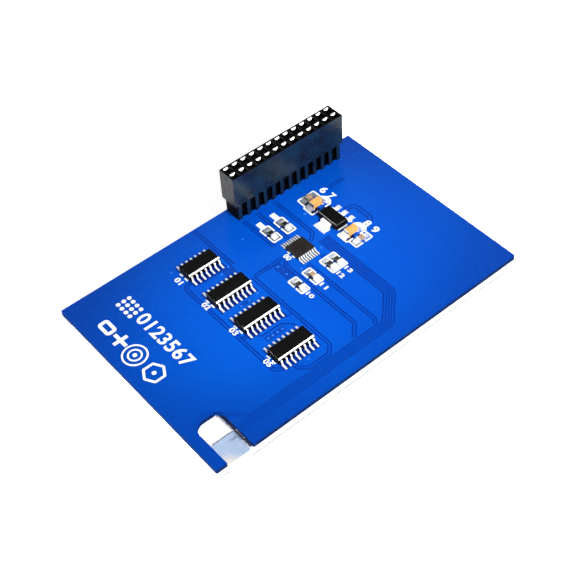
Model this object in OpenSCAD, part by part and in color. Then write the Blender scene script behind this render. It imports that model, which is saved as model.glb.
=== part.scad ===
// Colour display module with a touch panel, made to plug onto a small computer.
// Millimetres. The display's front lies on z = 0 and the header stands up along +Z.
// The origin is under the middle of the board. +X runs towards the header's end.
// Places on the board are measured from the corner beside the notch.

/* [Board] */
// Length of the board
board_l = 85.4; // [80:0.1:100]
// Width of the board
board_w = 56; // [52:0.1:70]
// Thickness of the board
board_t = 1.2; // [0.8:0.1:2.4]
// Radius of the board's outer corners
board_r = 0.4; // [0.2:0.1:2]
// Thickness of a soldered pad under a lead
solder_t = 0.05; // [0.03:0.01:0.08]

/* [Notch for the touch tail] */
// Width of the finger left between the notch and the board's end
finger_w = 2.75; // [2:0.05:4]
// Width of the notch
notch_w = 6.75; // [5:0.05:9]
// Depth of the notch from the board's long edge
notch_d = 11.4; // [8:0.1:13]
// Radius of the notch's corner beside the finger
notch_r = 2.6; // [0.5:0.1:3]
// Radius of the notch's other corner
notch_small_r = 1; // [0.5:0.1:3]

/* [Header] */
// Columns of sockets in each of the two rows
columns = 13; // [4:1:13]
// Distance from one socket to the next, both ways
pitch = 2.54; // [2:0.01:2.54]
// From the board's far end to the last column
header_end = 7.7; // [5:0.1:12]
// From the board's long edge to the line between the two rows
header_side = 2.65; // [2.6:0.05:4]
// Height of the housing
housing_h = 8.7; // [6:0.1:11]
// Width of the housing
housing_w = 5; // [4.6:0.1:6]
// From the end column to the housing's end face
housing_end = 1.34; // [1.2:0.02:2]
// Bottom wall of the housing
housing_floor = 1; // [0.6:0.1:2]
// Width of a socket along the rows
socket_l = 1.7; // [1.5:0.05:1.8]
// Width of a socket across the rows
socket_w = 1.6; // [1.5:0.05:1.75]
// Depth and spread of the lead-in round each socket
lead_in = 0.22; // [0.1:0.02:0.3]
// Small bevel along the housing's top edges
housing_bevel = 0.15; // [0.1:0.05:0.3]

/* [Header spacer] */
// Height of the spacer that lifts the housing
spacer_h = 4.8; // [2:0.1:8]
// Width of each rib
rib_w = 1.1; // [1:0.05:1.8]
// Depth of the grooves between the ribs
groove_d = 0.5; // [0.5:0.1:1.6]
// How far the spacer's sides stand in from the housing's
spacer_inset = 0.1; // [0:0.05:0.3]

/* [Header contacts] */
// Width of a contact's tail
tail_w = 0.64; // [0.4:0.02:0.7]
// Thickness of a contact's tail
tail_t = 0.3; // [0.2:0.05:0.4]
// How far the tails stand out under the board
tail_out = 0.7; // [0.3:0.1:0.8]
// Width of a contact's spring leaves
leaf_w = 1.3; // [1:0.05:1.6]
// Width to which the leaves narrow where they grip
grip_w = 0.3; // [0.2:0.05:1]
// Height of the flared lip on the long leaf
lip_h = 0.32; // [0.2:0.02:1]
// How much lower the short leaf ends
short_leaf = 1.2; // [0.8:0.1:2]
// Thickness of the spring leaves
leaf_t = 0.2; // [0.1:0.02:0.25]
// Diameter of the plated holes
plated_d = 1; // [0.9:0.05:1.2]
// Clearance round a tail in the spacer and the housing's floor
tail_clear = 0.08; // [0.04:0.02:0.12]

/* [Logic chips] */
// Lead pitch
so_pitch = 1.27; // [1:0.01:1.27]
// Body past the end lead's axis
so_end = 0.5; // [0.4:0.05:0.8]
// Width of the body
so_w = 3.9; // [3.5:0.05:4.2]
// Height of the body
so_h = 1.55; // [1.2:0.05:1.8]
// Distance across the tips of the leads
so_span = 6; // [5.6:0.1:6.4]
// Width of a lead
so_lead_w = 0.38; // [0.3:0.01:0.6]
// Thickness of a lead
so_lead_t = 0.2; // [0.15:0.01:0.25]
// Bevel along the first row's top edge
so_bevel = 0.28; // [0.2:0.02:0.5]
// Distance across the outer ends of the pads
so_pad_span = 7.6; // [7:0.1:8]
// Width of a pad
so_pad_w = 0.46; // [0.42:0.02:0.7]

// First chip: leads on each side, then the place of its middle along and across the board
inverter = [7, 30.8, 45.4]; // [0:0.05:90]
// Second chip
counter = [8, 31, 35]; // [0:0.05:90]
// Third chip
register_a = [8, 31, 25.2]; // [0:0.05:90]
// Fourth chip
register_b = [8, 31, 13.75]; // [0:0.05:90]

/* [Touch controller] */
// Place of its middle along and across the board
tc_place = [51.1, 34.25]; // [0:0.05:90]
// Leads on each side
tc_leads = 8; // [6:1:8]
// Lead pitch
tc_pitch = 0.65; // [0.5:0.01:0.65]
// Width of the body
tc_w = 4.4; // [4:0.05:4.6]
// Height of the body
tc_h = 0.95; // [0.8:0.05:1.1]
// Distance across the tips of the leads
tc_span = 6.4; // [6.2:0.1:6.8]
// Width of a lead
tc_lead_w = 0.26; // [0.18:0.01:0.3]
// Distance across the outer ends of the pads
tc_pad_span = 8.1; // [7.4:0.1:8.4]

/* [Regulator] */
// Place of its middle along and across the board
reg_place = [62.75, 36.15]; // [0:0.05:90]
// Length of the body along the row of leads
reg_l = 6.5; // [6.2:0.1:6.8]
// Width of the body
reg_w = 3.5; // [3.2:0.1:3.8]
// Height of the body
reg_h = 1.65; // [1.4:0.05:1.8]
// Lead pitch
reg_pitch = 2.3; // [2.1:0.05:2.4]
// Distance across the tips of the leads and the tab
reg_span = 7; // [6.6:0.1:7.4]
// Width of the tab
tab_w = 3; // [2.6:0.1:3.3]
// Distance across the outer ends of the pads
reg_pad_span = 8.9; // [8.4:0.1:9.2]

/* [Power capacitors] */
// Place of the input capacitor's middle along and across the board
input_place = [63.25, 42.7]; // [0:0.05:90]
// Place of the output capacitor's middle along and across the board
output_place = [63.25, 30.4]; // [0:0.05:90]
// Length
cap_l = 3.3; // [3:0.05:3.4]
// Width
cap_w = 1.6; // [1.4:0.05:1.8]
// Height
cap_h = 1.6; // [1.2:0.05:1.8]
// Length of each end's metal band
cap_band = 0.3; // [0.2:0.05:0.7]

/* [Small parts] */
// Length
small_l = 2; // [1.8:0.05:2.2]
// Width
small_w = 1.25; // [1.1:0.05:1.4]
// Height of a small capacitor
small_cap_h = 0.85; // [0.6:0.05:1.2]
// Height of a resistor
resistor_h = 0.6; // [0.45:0.05:0.8]
// Length of each end's metal band
small_band = 0.42; // [0.25:0.02:0.55]

/* [Display] */
// Length of the display and touch panel
display_l = 82.9; // [80:0.1:84]
// Width of the display and touch panel
display_w = 54.5; // [52.5:0.1:55]
// Wall of the white frame round the glass
frame_wall = 1.2; // [0.8:0.1:1.6]
// Ledge inside the frame that carries the glass
frame_lip = 1.4; // [0.8:0.1:2]
// Thickness of each display glass
glass_t = 0.5; // [0.3:0.05:0.7]
// Thickness of each polariser
polariser_t = 0.2; // [0.1:0.05:0.25]
// Thickness of the diffuser and of the prism sheet
sheet_t = 0.1; // [0.05:0.01:0.2]
// Thickness of the light guide
guide_t = 0.7; // [0.6:0.05:1.2]
// Thickness of the reflector on the back
reflector_t = 0.1; // [0.05:0.01:0.2]
// Length of the rear glass that stands out past the front glass
chip_ledge = 3.6; // [3:0.1:5]
// Play of each layer in its pocket
layer_play = 0.15; // [0.05:0.05:0.25]

/* [Touch panel] */
// Thickness of the flexible front film
film_t = 0.2; // [0.1:0.02:0.3]
// Thickness of the bond between film and glass, and of the tail in it
bond_t = 0.1; // [0.05:0.01:0.15]
// Thickness of the touch glass
touch_glass_t = 1.1; // [0.7:0.1:1.8]
// Thickness of the gasket behind the touch glass
gasket_t = 0.4; // [0.3:0.05:0.8]
// Width of the gasket and of the bond
gasket_w = 3; // [2:0.1:4]
// Width of the touch tail
tail_band = 5.9; // [4:0.1:6.2]

/* [Mounting] */
// Thickness of the foam tape between the display and the board
tape_t = 1; // [0.9:0.1:2]
// Width of each strip of foam tape
tape_w = 8; // [5:0.5:12]

/* [Hidden] */
$fn = 48;
EPS = 0.01;                    // a cut runs this far past a face
dimple_deep = 0.06;            // depth of a chip's dimple

// Heights, from the display's front up
z_bond = film_t;
z_touch_glass = z_bond + bond_t;
z_gasket = z_touch_glass + touch_glass_t;
z_frame = z_gasket + gasket_t;
z_rear_glass = z_frame + glass_t;
z_lip = z_rear_glass + glass_t;
z_prism = z_lip + polariser_t;
z_diffuser = z_prism + sheet_t;
z_guide = z_diffuser + sheet_t;
z_reflector = z_guide + guide_t;
z_back = z_reflector + reflector_t;
z_board = z_back + tape_t;
z_top = z_board + board_t;

// Header
header_x = board_l - header_end - (columns - 1) * pitch / 2;
header_y = board_w - header_side;
housing_l = (columns - 1) * pitch + 2 * housing_end;
spacer_l = (columns - 1) * pitch + rib_w;
spacer_w = housing_w - 2 * spacer_inset;
fork_half = socket_w / 2 - 0.08;   // the leaves' outer faces, just inside the socket
grip_long = 0.3;                   // from the socket's middle to the long leaf where it grips
grip_short = 0.16;                 // and to the short leaf
lip_low = 0.06;                    // the lips end this far under the housing's top
// Half outline of a lip from its neck up: share of the leaf's width, share of the lip's height
lip_outline = [[0.3, 0.15], [0.43, 0.5], [0.5, 0.8], [0.5, 1]];
root_h = 0.6;                      // height of the block that joins two leaves
root_straight = 1;                 // straight part of the leaves above it
cone_r = 0.8;                      // foot of a solder cone
cone_clear = 0.1;                  // a cone's tip stands this far off the tail and above its end

// Logic chips
so_stand = 0.15;                // gap under the body
so_parting = 0.62;             // height of the leads, as a share of the body's
so_draft = 7;
so_bend_r = 0.2;
so_slope = 80;
so_shoulder = 0.12;            // straight part of a lead beside the body
so_pad_in = 0.2;               // a pad starts this far outside the body
so_toe = 0.14;                 // height of the solder at a lead's toe
so_dot_d = 0.7;                // dimple beside the first lead
so_dot_in = 1;

// Touch controller
tc_end = 0.225;                // body past the end lead's axis
tc_l = (tc_leads - 1) * tc_pitch + 2 * tc_end;
tc_stand = 0.08;               // gap under the body
tc_parting = 0.5;              // height of the leads, as a share of the body's
tc_draft = 11;
tc_lead_t = 0.15;
tc_pad_w = tc_lead_w + 0.08;
tc_bend_r = 0.15;
tc_slope = 82;
tc_shoulder = 0.1;
tc_pad_in = 0.25;
tc_toe = 0.1;
tc_dot_d = 0.6;                // dimple beside the first lead
tc_dot_in = 0.8;

// Regulator: its row of leads faces +X
reg_stand = 0.06;              // gap under the body
reg_parting = 0.5;             // height of the leads, as a share of the body's
reg_draft = 12;
reg_lead_t = 0.28;
reg_lead_w = 0.75;
reg_pad_w = 1.25;
reg_bend_r = 0.3;
reg_slope = 84;
reg_shoulder = 0.3;
reg_pad_in = 0.6;
reg_toe = 0.2;
tab_pad_w = tab_w + 0.7;

// Power capacitors
cap_pad_span = 5.6;
cap_pad_w = cap_w + 0.4;

// Small parts: x, y, turn
small_caps = [[47.8, 26.1, 90], [63.45, 45.45, 0], [63.45, 27.3, 0]];
resistors = [
  [43.75, 26.1, 90], [52.95, 26.1, 90], [55.05, 26.1, 90], [49.3, 42.55, 90], [53.45, 42.55, 90]
];
small_pad_span = 4.2;
small_pad_w = small_w + 0.25;
metal_t = 0.04;                // thickness of the metal bands
glaze_t = 0.06;                // thickness of a resistor's dark glaze
glaze_in = 0.05;               // from the glaze to the resistor's sides
end_pad_in = 0.5;              // how far a pad reaches under an end
end_toe = 0.45;                // height of the solder at an end, as a share of the part's height

// Display
layer_inset = 0.3;             // reflector, gasket and bond stand in from the display's edge
pocket_l = display_l - 2 * frame_wall;
pocket_w = display_w - 2 * frame_wall;
window_l = pocket_l - 2 * frame_lip;
window_w = pocket_w - 2 * frame_lip;
led_room = 2.4;                // end of the window that holds the lamps
led_count = 6;
led_size = [0.8, 3, 0.6];
led_strip_t = 0.1;
led_strip_w = 1.8;
led_strip_end = 2;             // from the window's side to the strip's end
led_end = 4;                   // from the window's side to the outer lamps' share of the row
flex_t = 0.1;
flex_lift = 0.05;              // play over the flex in the frame's wall
flex_w = 33;
flex_bend_r = 0.3;
flex_pads = 40;
flex_pad_pitch = 0.8;
flex_pad = [2.5, 0.45];
flex_pad_in = 0.3;             // from the flex's end to its pads
flex_clear = 0.2;              // play of the flex in the frame's wall
flex_root = 1.3;               // how far the flex lies on the rear glass
flex_reach = 8;                // how far the display's flex runs under the board
driver_size = [1.4, 20, 0.35];
driver_in = 0.5;               // from the front glass to the driver chip
polariser_play = 0.3;          // from the gasket's opening to the front polariser

// Touch tail, folded round the display's edge and over its back
tail_x = finger_w + (notch_w - tail_band) / 2;
tail_back = 5.9;               // how far the tail lies over the back
tail_bend_r = 0.2;
tail_root = 2;                 // how far the tail reaches in between film and glass
tail_clear_bond = 0.1;         // play of the tail in the bond ring's gap
tail_branch_w = 2.8;
tail_branch_l = 4.6;           // how far the branch runs under the board
tail_branch_in = 0.3;          // from the tail's end to the branch
tail_ramp_in = 0.3;            // from the notch to the branch's ramp
tail_ramp = 1.2;
tail_pads = 4;
tail_pad = [2.2, 0.4];
tail_pad_in = 0.3;             // from the ramp to the pads

// Foam tape: the strips lie between the notch and the display's flex
tape_clear = 2;                // from the tail's branch to the tape
tape_end = 3.5;                // from the tape to the display's flex
tape_edge = 9;                 // from the board's long edges to the tape
tape_from = finger_w + notch_w + tail_branch_l + tape_clear;
tape_to = board_l - flex_reach - tape_end;

// ---- Shared shapes ----

// Children stand on the board's upper face at a place measured from its corner
module on_board(x, y, turn = 0) {
  translate([x - board_l / 2, y - board_w / 2, z_top]) rotate(turn) children();
}

// A flat sheet centred on the display
module sheet(l, w, t, z) {
  translate([-l / 2, -w / 2, z]) cube([l, w, t]);
}

// Children's x becomes the part's y and their y becomes z; extruded along x about the middle
module along_x(w) {
  translate([-w / 2, 0, 0]) rotate([90, 0, 90]) linear_extrude(w) children();
}

// Children's x stays x and their y becomes z; extruded along y about the middle
module along_y(w) {
  translate([0, w / 2, 0]) rotate([90, 0, 0]) linear_extrude(w) children();
}

function arc(c, r, from, to, steps = 4) =
  [for (i = [0:steps]) let (a = from + (to - from) * i / steps) [c[0] + r * cos(a), c[1] + r * sin(a)]];

// Outline of a bent lead: out from the body, down and out again to its foot
function gull(root, tip, high, low, t, r, slope, shoulder) =
  let (
    run = (high - low - 2 * r * (1 - cos(slope))) / sin(slope),
    upper = [root + shoulder, high - r],
    lower = [root + shoulder + 2 * r * sin(slope) + run * cos(slope), low + r]
  )
  concat(
    [[root, high + t / 2]],
    arc(upper, r + t / 2, 90, 90 - slope),
    arc(lower, r - t / 2, 270 - slope, 270),
    [[tip, low + t / 2], [tip, low - t / 2]],
    arc(lower, r + t / 2, 270, 270 - slope),
    arc(upper, r - t / 2, 90 - slope, 90),
    [[root, high - t / 2]]
  );

// Half outline of a moulded body: sides lean in above and below the leads
function side(half, z0, z1, lead_z, lead_t, draft) = [
  [half - (lead_z - lead_t / 2 - z0) * tan(draft), z0],
  [half, lead_z - lead_t / 2],
  [half, lead_z + lead_t / 2],
  [half - (z1 - lead_z - lead_t / 2) * tan(draft), z1]
];

function mirrored(points) = [for (i = [len(points) - 1:-1:0]) [-points[i][0], points[i][1]]];

// Moulded chip body. The bevel runs along the top edge on the -Y side.
module moulded_body(l, w, z0, h, lead_z, lead_t, draft, bevel = 0) {
  across = side(w / 2, z0, z0 + h, lead_z, lead_t, draft);
  along = side(l / 2, z0, z0 + h, lead_z, lead_t, draft);
  intersection() {
    along_x(l) difference() {
      polygon(concat(across, mirrored(across)));
      if (bevel > 0)
        translate([mirrored(across)[0][0], z0 + h]) rotate(45)
          square(bevel * sqrt(2), center = true);
    }
    along_y(w + 2) polygon(concat(along, mirrored(along)));
  }
}

// A shallow round dimple in a body's top face
module dimple(x, y, top, d) {
  translate([x, y, top - dimple_deep]) cylinder(d = d, h = 1, $fn = 24);
}

// A row of children along x
module row(count, step) {
  for (i = [0:count - 1]) translate([(i - (count - 1) / 2) * step, 0, 0]) children();
}

// Children on the +Y side and again on the -Y side
module both_sides() {
  children();
  rotate(180) children();
}

// Solder on one pad, with a toe that climbs the end of what stands on it
module pad_solder(inner, foot, outer, w, toe) {
  along_x(w) polygon([
    [inner, 0], [outer, 0], [outer, solder_t],
    [foot, solder_t + toe], [foot, solder_t], [inner, solder_t]
  ]);
}

// ---- Board ----

module outline_2d(l, w, r) {
  union() {
    square([l - 2 * r, w], center = true);
    square([l, w - 2 * r], center = true);
    for (x = [-1, 1], y = [-1, 1]) translate([x * (l / 2 - r), y * (w / 2 - r)]) circle(r);
  }
}

module notch_2d() {
  top = notch_d - board_w / 2;
  left = finger_w - board_l / 2;
  right = left + notch_w;
  difference() {
    translate([left, top - notch_d - 1]) square([notch_w, notch_d + 1]);
    translate([left, top - notch_r]) difference() {
      translate([-1, 0]) square([notch_r + 1, notch_r + 1]);
      translate([notch_r, 0]) circle(notch_r);
      translate([notch_r, -notch_r]) square(2 * notch_r);
    }
    translate([right - notch_small_r, top - notch_small_r]) difference() {
      square([notch_small_r + 1, notch_small_r + 1]);
      circle(notch_small_r);
      translate([-2 * notch_small_r, -notch_small_r]) square(2 * notch_small_r);
    }
  }
}

module header_places(rows = [-1, 1]) {
  on_board(header_x, header_y) row(columns, pitch) for (side = rows) translate([0, side * pitch / 2, 0])
    children();
}

module pcb() {
  color("#0058d8") difference() {
    translate([0, 0, z_board]) linear_extrude(board_t) difference() {
      outline_2d(board_l, board_w, board_r);
      notch_2d();
    }
    header_places() translate([0, 0, -board_t - 1]) cylinder(d = plated_d, h = board_t + 2);
  }
}

// ---- Header ----

// Lead-ins of all sockets: grooves along the rows crossed with grooves across them
module lead_ins() {
  z = spacer_h + housing_h;
  cut = lead_in + EPS;
  intersection() {
    for (side = [-1, 1]) translate([0, side * pitch / 2, z]) along_x(housing_l)
      polygon([[-socket_w / 2, -lead_in], [socket_w / 2, -lead_in],
               [socket_w / 2 + cut, EPS], [-socket_w / 2 - cut, EPS]]);
    translate([0, 0, z]) row(columns, pitch) along_y(housing_w)
      polygon([[-socket_l / 2, -lead_in], [socket_l / 2, -lead_in],
               [socket_l / 2 + cut, EPS], [-socket_l / 2 - cut, EPS]]);
  }
}

module header_housing() {
  b = housing_bevel;
  color("#14171f") on_board(header_x, header_y) difference() {
    translate([0, 0, spacer_h]) intersection() {
      along_x(housing_l) polygon([
        [-housing_w / 2, 0], [housing_w / 2, 0], [housing_w / 2, housing_h - b],
        [housing_w / 2 - b, housing_h], [b - housing_w / 2, housing_h], [-housing_w / 2, housing_h - b]
      ]);
      along_y(housing_w) polygon([
        [-housing_l / 2, 0], [housing_l / 2, 0], [housing_l / 2, housing_h - b],
        [housing_l / 2 - b, housing_h], [b - housing_l / 2, housing_h], [-housing_l / 2, housing_h - b]
      ]);
    }
    row(columns, pitch) for (side = [-1, 1]) translate([0, side * pitch / 2, 0]) {
      translate([-socket_l / 2, -socket_w / 2, spacer_h + housing_floor])
        cube([socket_l, socket_w, housing_h]);
      translate([-tail_w / 2 - tail_clear, -tail_t / 2 - tail_clear, spacer_h - 1])
        cube([tail_w + 2 * tail_clear, tail_t + 2 * tail_clear, housing_floor + 2]);
    }
    lead_ins();
  }
}

module header_spacer() {
  color("#171a22") on_board(header_x, header_y) difference() {
    translate([-spacer_l / 2, -spacer_w / 2, 0]) cube([spacer_l, spacer_w, spacer_h]);
    row(columns - 1, pitch) for (side = [-1, 1])
      translate([rib_w / 2 - pitch / 2, side * (spacer_w / 2) - groove_d, -1])
        cube([pitch - rib_w, 2 * groove_d, spacer_h + 2]);
    row(columns, pitch) for (side = [-1, 1]) translate([0, side * pitch / 2, 0])
      translate([-tail_w / 2 - tail_clear, -tail_t / 2 - tail_clear, -1])
        cube([tail_w + 2 * tail_clear, tail_t + 2 * tail_clear, spacer_h + 2]);
  }
}

// Half outline of a contact across the rows: a leaf that leans in to its grip and flares to a lip
function leaf(z0, z1, grip) =
  let (bend = z0 + root_h + root_straight)
  [
    [0, z0], [fork_half, z0], [fork_half, bend], [grip + leaf_t, z1 - lip_h],
    [fork_half, z1], [fork_half - leaf_t, z1], [grip, z1 - lip_h],
    [fork_half - leaf_t, bend], [fork_half - leaf_t, z0 + root_h], [0, z0 + root_h]
  ];

// One contact: a long and a short sprung leaf on a block, and a tail that goes through the board.
// The lips are round-shouldered, so that only a half-round tongue shows in each socket.
module contact() {
  z0 = spacer_h + housing_floor;
  z1 = spacer_h + housing_h - lip_low;
  neck = [
    [leaf_w / 2, z0], [leaf_w / 2, z0 + root_h + root_straight], [grip_w / 2, z1 - short_leaf - lip_h],
    [grip_w / 2, z1 - lip_h]
  ];
  lip = [for (p = lip_outline) [leaf_w * p[0], z1 - lip_h * (1 - p[1])]];
  tongue = concat(neck, lip);
  intersection() {
    along_x(leaf_w)
      polygon(concat(leaf(z0, z1, grip_long), mirrored(leaf(z0, z1 - short_leaf, grip_short))));
    along_y(socket_w) polygon(concat(tongue, mirrored(tongue)));
  }
  translate([-tail_w / 2, -tail_t / 2, -board_t - tail_out])
    cube([tail_w, tail_t, board_t + tail_out + z0 + root_h / 2]);
}

module header_front_contacts() {
  color("#d9d9d2") header_places([-1]) contact();
}

module header_back_contacts() {
  color("#d9d9d2") header_places([1]) contact();
}

// Solder cones round the tails, under the board
module header_solder() {
  color("#c9ccd0") header_places() difference() {
    translate([0, 0, cone_clear - board_t - tail_out])
      cylinder(r1 = tail_w / 2 + cone_clear, r2 = cone_r, h = tail_out - cone_clear);
    translate([-tail_w / 2, -tail_t / 2, -board_t - tail_out - 1])
      cube([tail_w, tail_t, tail_out + 2]);
  }
}

// ---- Logic chips ----

so_lead_z = solder_t + so_stand + so_h * so_parting;

module so_body(chip) {
  color("#151313") on_board(chip[1], chip[2])
    difference() {
      moulded_body((chip[0] - 1) * so_pitch + 2 * so_end, so_w, solder_t + so_stand, so_h,
                   so_lead_z, so_lead_t, so_draft, so_bevel);
      dimple((1 - chip[0]) * so_pitch / 2 - so_end + so_dot_in, so_dot_in - so_w / 2,
             solder_t + so_stand + so_h, so_dot_d);
    }
}

module so_leads(chip) {
  color("#e4e6e8") on_board(chip[1], chip[2]) both_sides() row(chip[0], so_pitch) along_x(so_lead_w)
    polygon(gull(so_w / 2, so_span / 2, so_lead_z, solder_t + so_lead_t / 2, so_lead_t,
                 so_bend_r, so_slope, so_shoulder));
}

module so_solder(chip) {
  on_board(chip[1], chip[2]) both_sides() row(chip[0], so_pitch)
    pad_solder(so_w / 2 + so_pad_in, so_span / 2, so_pad_span / 2, so_pad_w, so_toe);
}

module inverter_body() { so_body(inverter); }
module inverter_leads() { so_leads(inverter); }
module counter_body() { so_body(counter); }
module counter_leads() { so_leads(counter); }
module shift_register_a_body() { so_body(register_a); }
module shift_register_a_leads() { so_leads(register_a); }
module shift_register_b_body() { so_body(register_b); }
module shift_register_b_leads() { so_leads(register_b); }

module logic_solder() {
  color("#dfe2e5") for (chip = [inverter, counter, register_a, register_b]) so_solder(chip);
}

// ---- Touch controller ----

tc_lead_z = solder_t + tc_stand + tc_h * tc_parting;

module touch_controller_body() {
  color("#211c1a") on_board(tc_place[0], tc_place[1]) difference() {
    moulded_body(tc_l, tc_w, solder_t + tc_stand, tc_h, tc_lead_z, tc_lead_t, tc_draft);
    dimple(tc_dot_in - tc_l / 2, tc_dot_in - tc_w / 2, solder_t + tc_stand + tc_h, tc_dot_d);
  }
}

module touch_controller_leads() {
  color("#e4e6e8") on_board(tc_place[0], tc_place[1]) both_sides() row(tc_leads, tc_pitch)
    along_x(tc_lead_w)
      polygon(gull(tc_w / 2, tc_span / 2, tc_lead_z, solder_t + tc_lead_t / 2, tc_lead_t,
                   tc_bend_r, tc_slope, tc_shoulder));
}

module touch_controller_solder() {
  color("#dfe2e5") on_board(tc_place[0], tc_place[1]) both_sides() row(tc_leads, tc_pitch)
    pad_solder(tc_w / 2 + tc_pad_in, tc_span / 2, tc_pad_span / 2, tc_pad_w, tc_toe);
}

// ---- Regulator ----

reg_lead_z = solder_t + reg_stand + reg_h * reg_parting;

module on_regulator() { on_board(reg_place[0], reg_place[1], -90) children(); }

function reg_lead() = gull(reg_w / 2, reg_span / 2, reg_lead_z, solder_t + reg_lead_t / 2, reg_lead_t,
                           reg_bend_r, reg_slope, reg_shoulder);

module regulator_body() {
  color("#161313") on_regulator()
    moulded_body(reg_l, reg_w, solder_t + reg_stand, reg_h, reg_lead_z, reg_lead_t, reg_draft);
}

module regulator_leads() {
  color("#e4e6e8") on_regulator() row(3, reg_pitch) along_x(reg_lead_w) polygon(reg_lead());
}

module regulator_tab() {
  color("#e4e6e8") on_regulator() rotate(180) along_x(tab_w) polygon(reg_lead());
}

module regulator_solder() {
  color("#dfe2e5") on_regulator() {
    inner = reg_w / 2 + reg_pad_in;
    row(3, reg_pitch) pad_solder(inner, reg_span / 2, reg_pad_span / 2, reg_pad_w, reg_toe);
    rotate(180) pad_solder(inner, reg_span / 2, reg_pad_span / 2, tab_pad_w, reg_toe);
  }
}

// ---- Parts with a metal band at each end ----

module end_core(l, w, h) {
  translate([metal_t - l / 2, metal_t - w / 2, solder_t + metal_t])
    cube([l - 2 * metal_t, w - 2 * metal_t, h - 2 * metal_t]);
}

module end_bands(l, w, h, band) {
  difference() {
    for (x = [-l / 2, l / 2 - band]) translate([x, -w / 2, solder_t]) cube([band, w, h]);
    end_core(l, w, h);
  }
}

module end_solder(l, span, w, h) {
  for (a = [90, -90]) rotate(a) pad_solder(l / 2 - end_pad_in, l / 2, span / 2, w, h * end_toe);
}

module input_capacitor_body() {
  color("#eeb968") on_board(input_place[0], input_place[1]) end_core(cap_l, cap_w, cap_h);
}

module input_capacitor_ends() {
  color("#e2e3e2") on_board(input_place[0], input_place[1]) end_bands(cap_l, cap_w, cap_h, cap_band);
}

module output_capacitor_body() {
  color("#eeb968") on_board(output_place[0], output_place[1]) end_core(cap_l, cap_w, cap_h);
}

module output_capacitor_ends() {
  color("#e2e3e2") on_board(output_place[0], output_place[1]) end_bands(cap_l, cap_w, cap_h, cap_band);
}

module power_capacitor_solder() {
  color("#dfe2e5") for (p = [input_place, output_place]) on_board(p[0], p[1])
    end_solder(cap_l, cap_pad_span, cap_pad_w, cap_h);
}

module small_capacitor_bodies() {
  color("#b99d78") for (p = small_caps)
    on_board(p[0], p[1], p[2]) end_core(small_l, small_w, small_cap_h);
}

module small_capacitor_ends() {
  color("#e2e3e2") for (p = small_caps) on_board(p[0], p[1], p[2])
    end_bands(small_l, small_w, small_cap_h, small_band);
}

module resistor_bodies() {
  color("#eceae4") for (p = resistors) on_board(p[0], p[1], p[2]) end_core(small_l, small_w, resistor_h);
}

module resistor_glaze() {
  color("#16171a") for (p = resistors) on_board(p[0], p[1], p[2])
    translate([small_band - small_l / 2, glaze_in - small_w / 2, solder_t + resistor_h - metal_t])
      cube([small_l - 2 * small_band, small_w - 2 * glaze_in, glaze_t]);
}

module resistor_ends() {
  color("#e2e3e2") for (p = resistors) on_board(p[0], p[1], p[2])
    end_bands(small_l, small_w, resistor_h, small_band);
}

module small_part_solder() {
  color("#dfe2e5") {
    for (p = small_caps) on_board(p[0], p[1], p[2])
      end_solder(small_l, small_pad_span, small_pad_w, small_cap_h);
    for (p = resistors) on_board(p[0], p[1], p[2])
      end_solder(small_l, small_pad_span, small_pad_w, resistor_h);
  }
}

// ---- Display ----

module foam_tape() {
  color("#f2f2ee") for (y = [tape_edge, board_w - tape_edge - tape_w])
    translate([tape_from - board_l / 2, y - board_w / 2, z_back])
      cube([tape_to - tape_from, tape_w, tape_t]);
}

module reflector() {
  color("#fbfbf8")
    sheet(display_l - 2 * layer_inset, display_w - 2 * layer_inset, reflector_t, z_reflector);
}

module backlight_frame() {
  color("#f4f4f0") difference() {
    sheet(display_l, display_w, z_reflector - z_frame, z_frame);
    sheet(pocket_l, pocket_w, z_lip - z_frame + 1, z_frame - 1);
    sheet(window_l, window_w, z_reflector - z_lip + 2, z_lip - 1);
    // Way out for the display's flex
    translate([0, -flex_w / 2 - flex_clear, z_frame - 1])
      cube([display_l, flex_w + 2 * flex_clear, 1 + glass_t + flex_lift]);
  }
}

module light_guide() {
  color("#e8f1f2") translate([-led_room / 2, 0, 0])
    sheet(window_l - led_room - 2 * layer_play, window_w - 2 * layer_play, guide_t, z_guide);
}

lamp_x = window_l / 2 - led_room / 2;

module backlight_lamps() {
  color("#f3e7a2") translate([lamp_x, 0, z_reflector - led_strip_t - led_size[2]])
    rotate(90) row(led_count, (window_w - 2 * led_end) / led_count)
      translate([-led_size[1] / 2, -led_size[0] / 2, 0]) cube([led_size[1], led_size[0], led_size[2]]);
}

module lamp_strip() {
  color("#d8a04a")
    translate([lamp_x - led_strip_w / 2, led_strip_end - window_w / 2, z_reflector - led_strip_t])
      cube([led_strip_w, window_w - 2 * led_strip_end, led_strip_t]);
}

module diffuser() {
  color("#f7f7f4") sheet(window_l - 2 * layer_play, window_w - 2 * layer_play, sheet_t, z_diffuser);
}

module prism_sheet() {
  color("#e4ecec") sheet(window_l - 2 * layer_play, window_w - 2 * layer_play, sheet_t, z_prism);
}

module rear_polariser() {
  color("#3a3f42") sheet(window_l - 2 * layer_play, window_w - 2 * layer_play, polariser_t, z_lip);
}

module rear_glass() {
  color("#a9bdb9") sheet(pocket_l - 2 * layer_play, pocket_w - 2 * layer_play, glass_t, z_rear_glass);
}

module front_glass() {
  color("#a9bdb9") translate([-chip_ledge / 2, 0, 0])
    sheet(pocket_l - 2 * layer_play - chip_ledge, pocket_w - 2 * layer_play, glass_t, z_frame);
}

module front_polariser() {
  inset = 2 * (layer_inset + gasket_w + polariser_play);
  color("#1b1d20") translate([-chip_ledge / 2, 0, 0])
    sheet(display_l - inset - chip_ledge, display_w - inset, polariser_t, z_frame - polariser_t);
}

ledge_end = pocket_l / 2 - layer_play;

module display_driver() {
  color("#2b2d31")
    translate([ledge_end - chip_ledge + driver_in, -driver_size[1] / 2, z_rear_glass - driver_size[2]])
      cube(driver_size);
}

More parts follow.
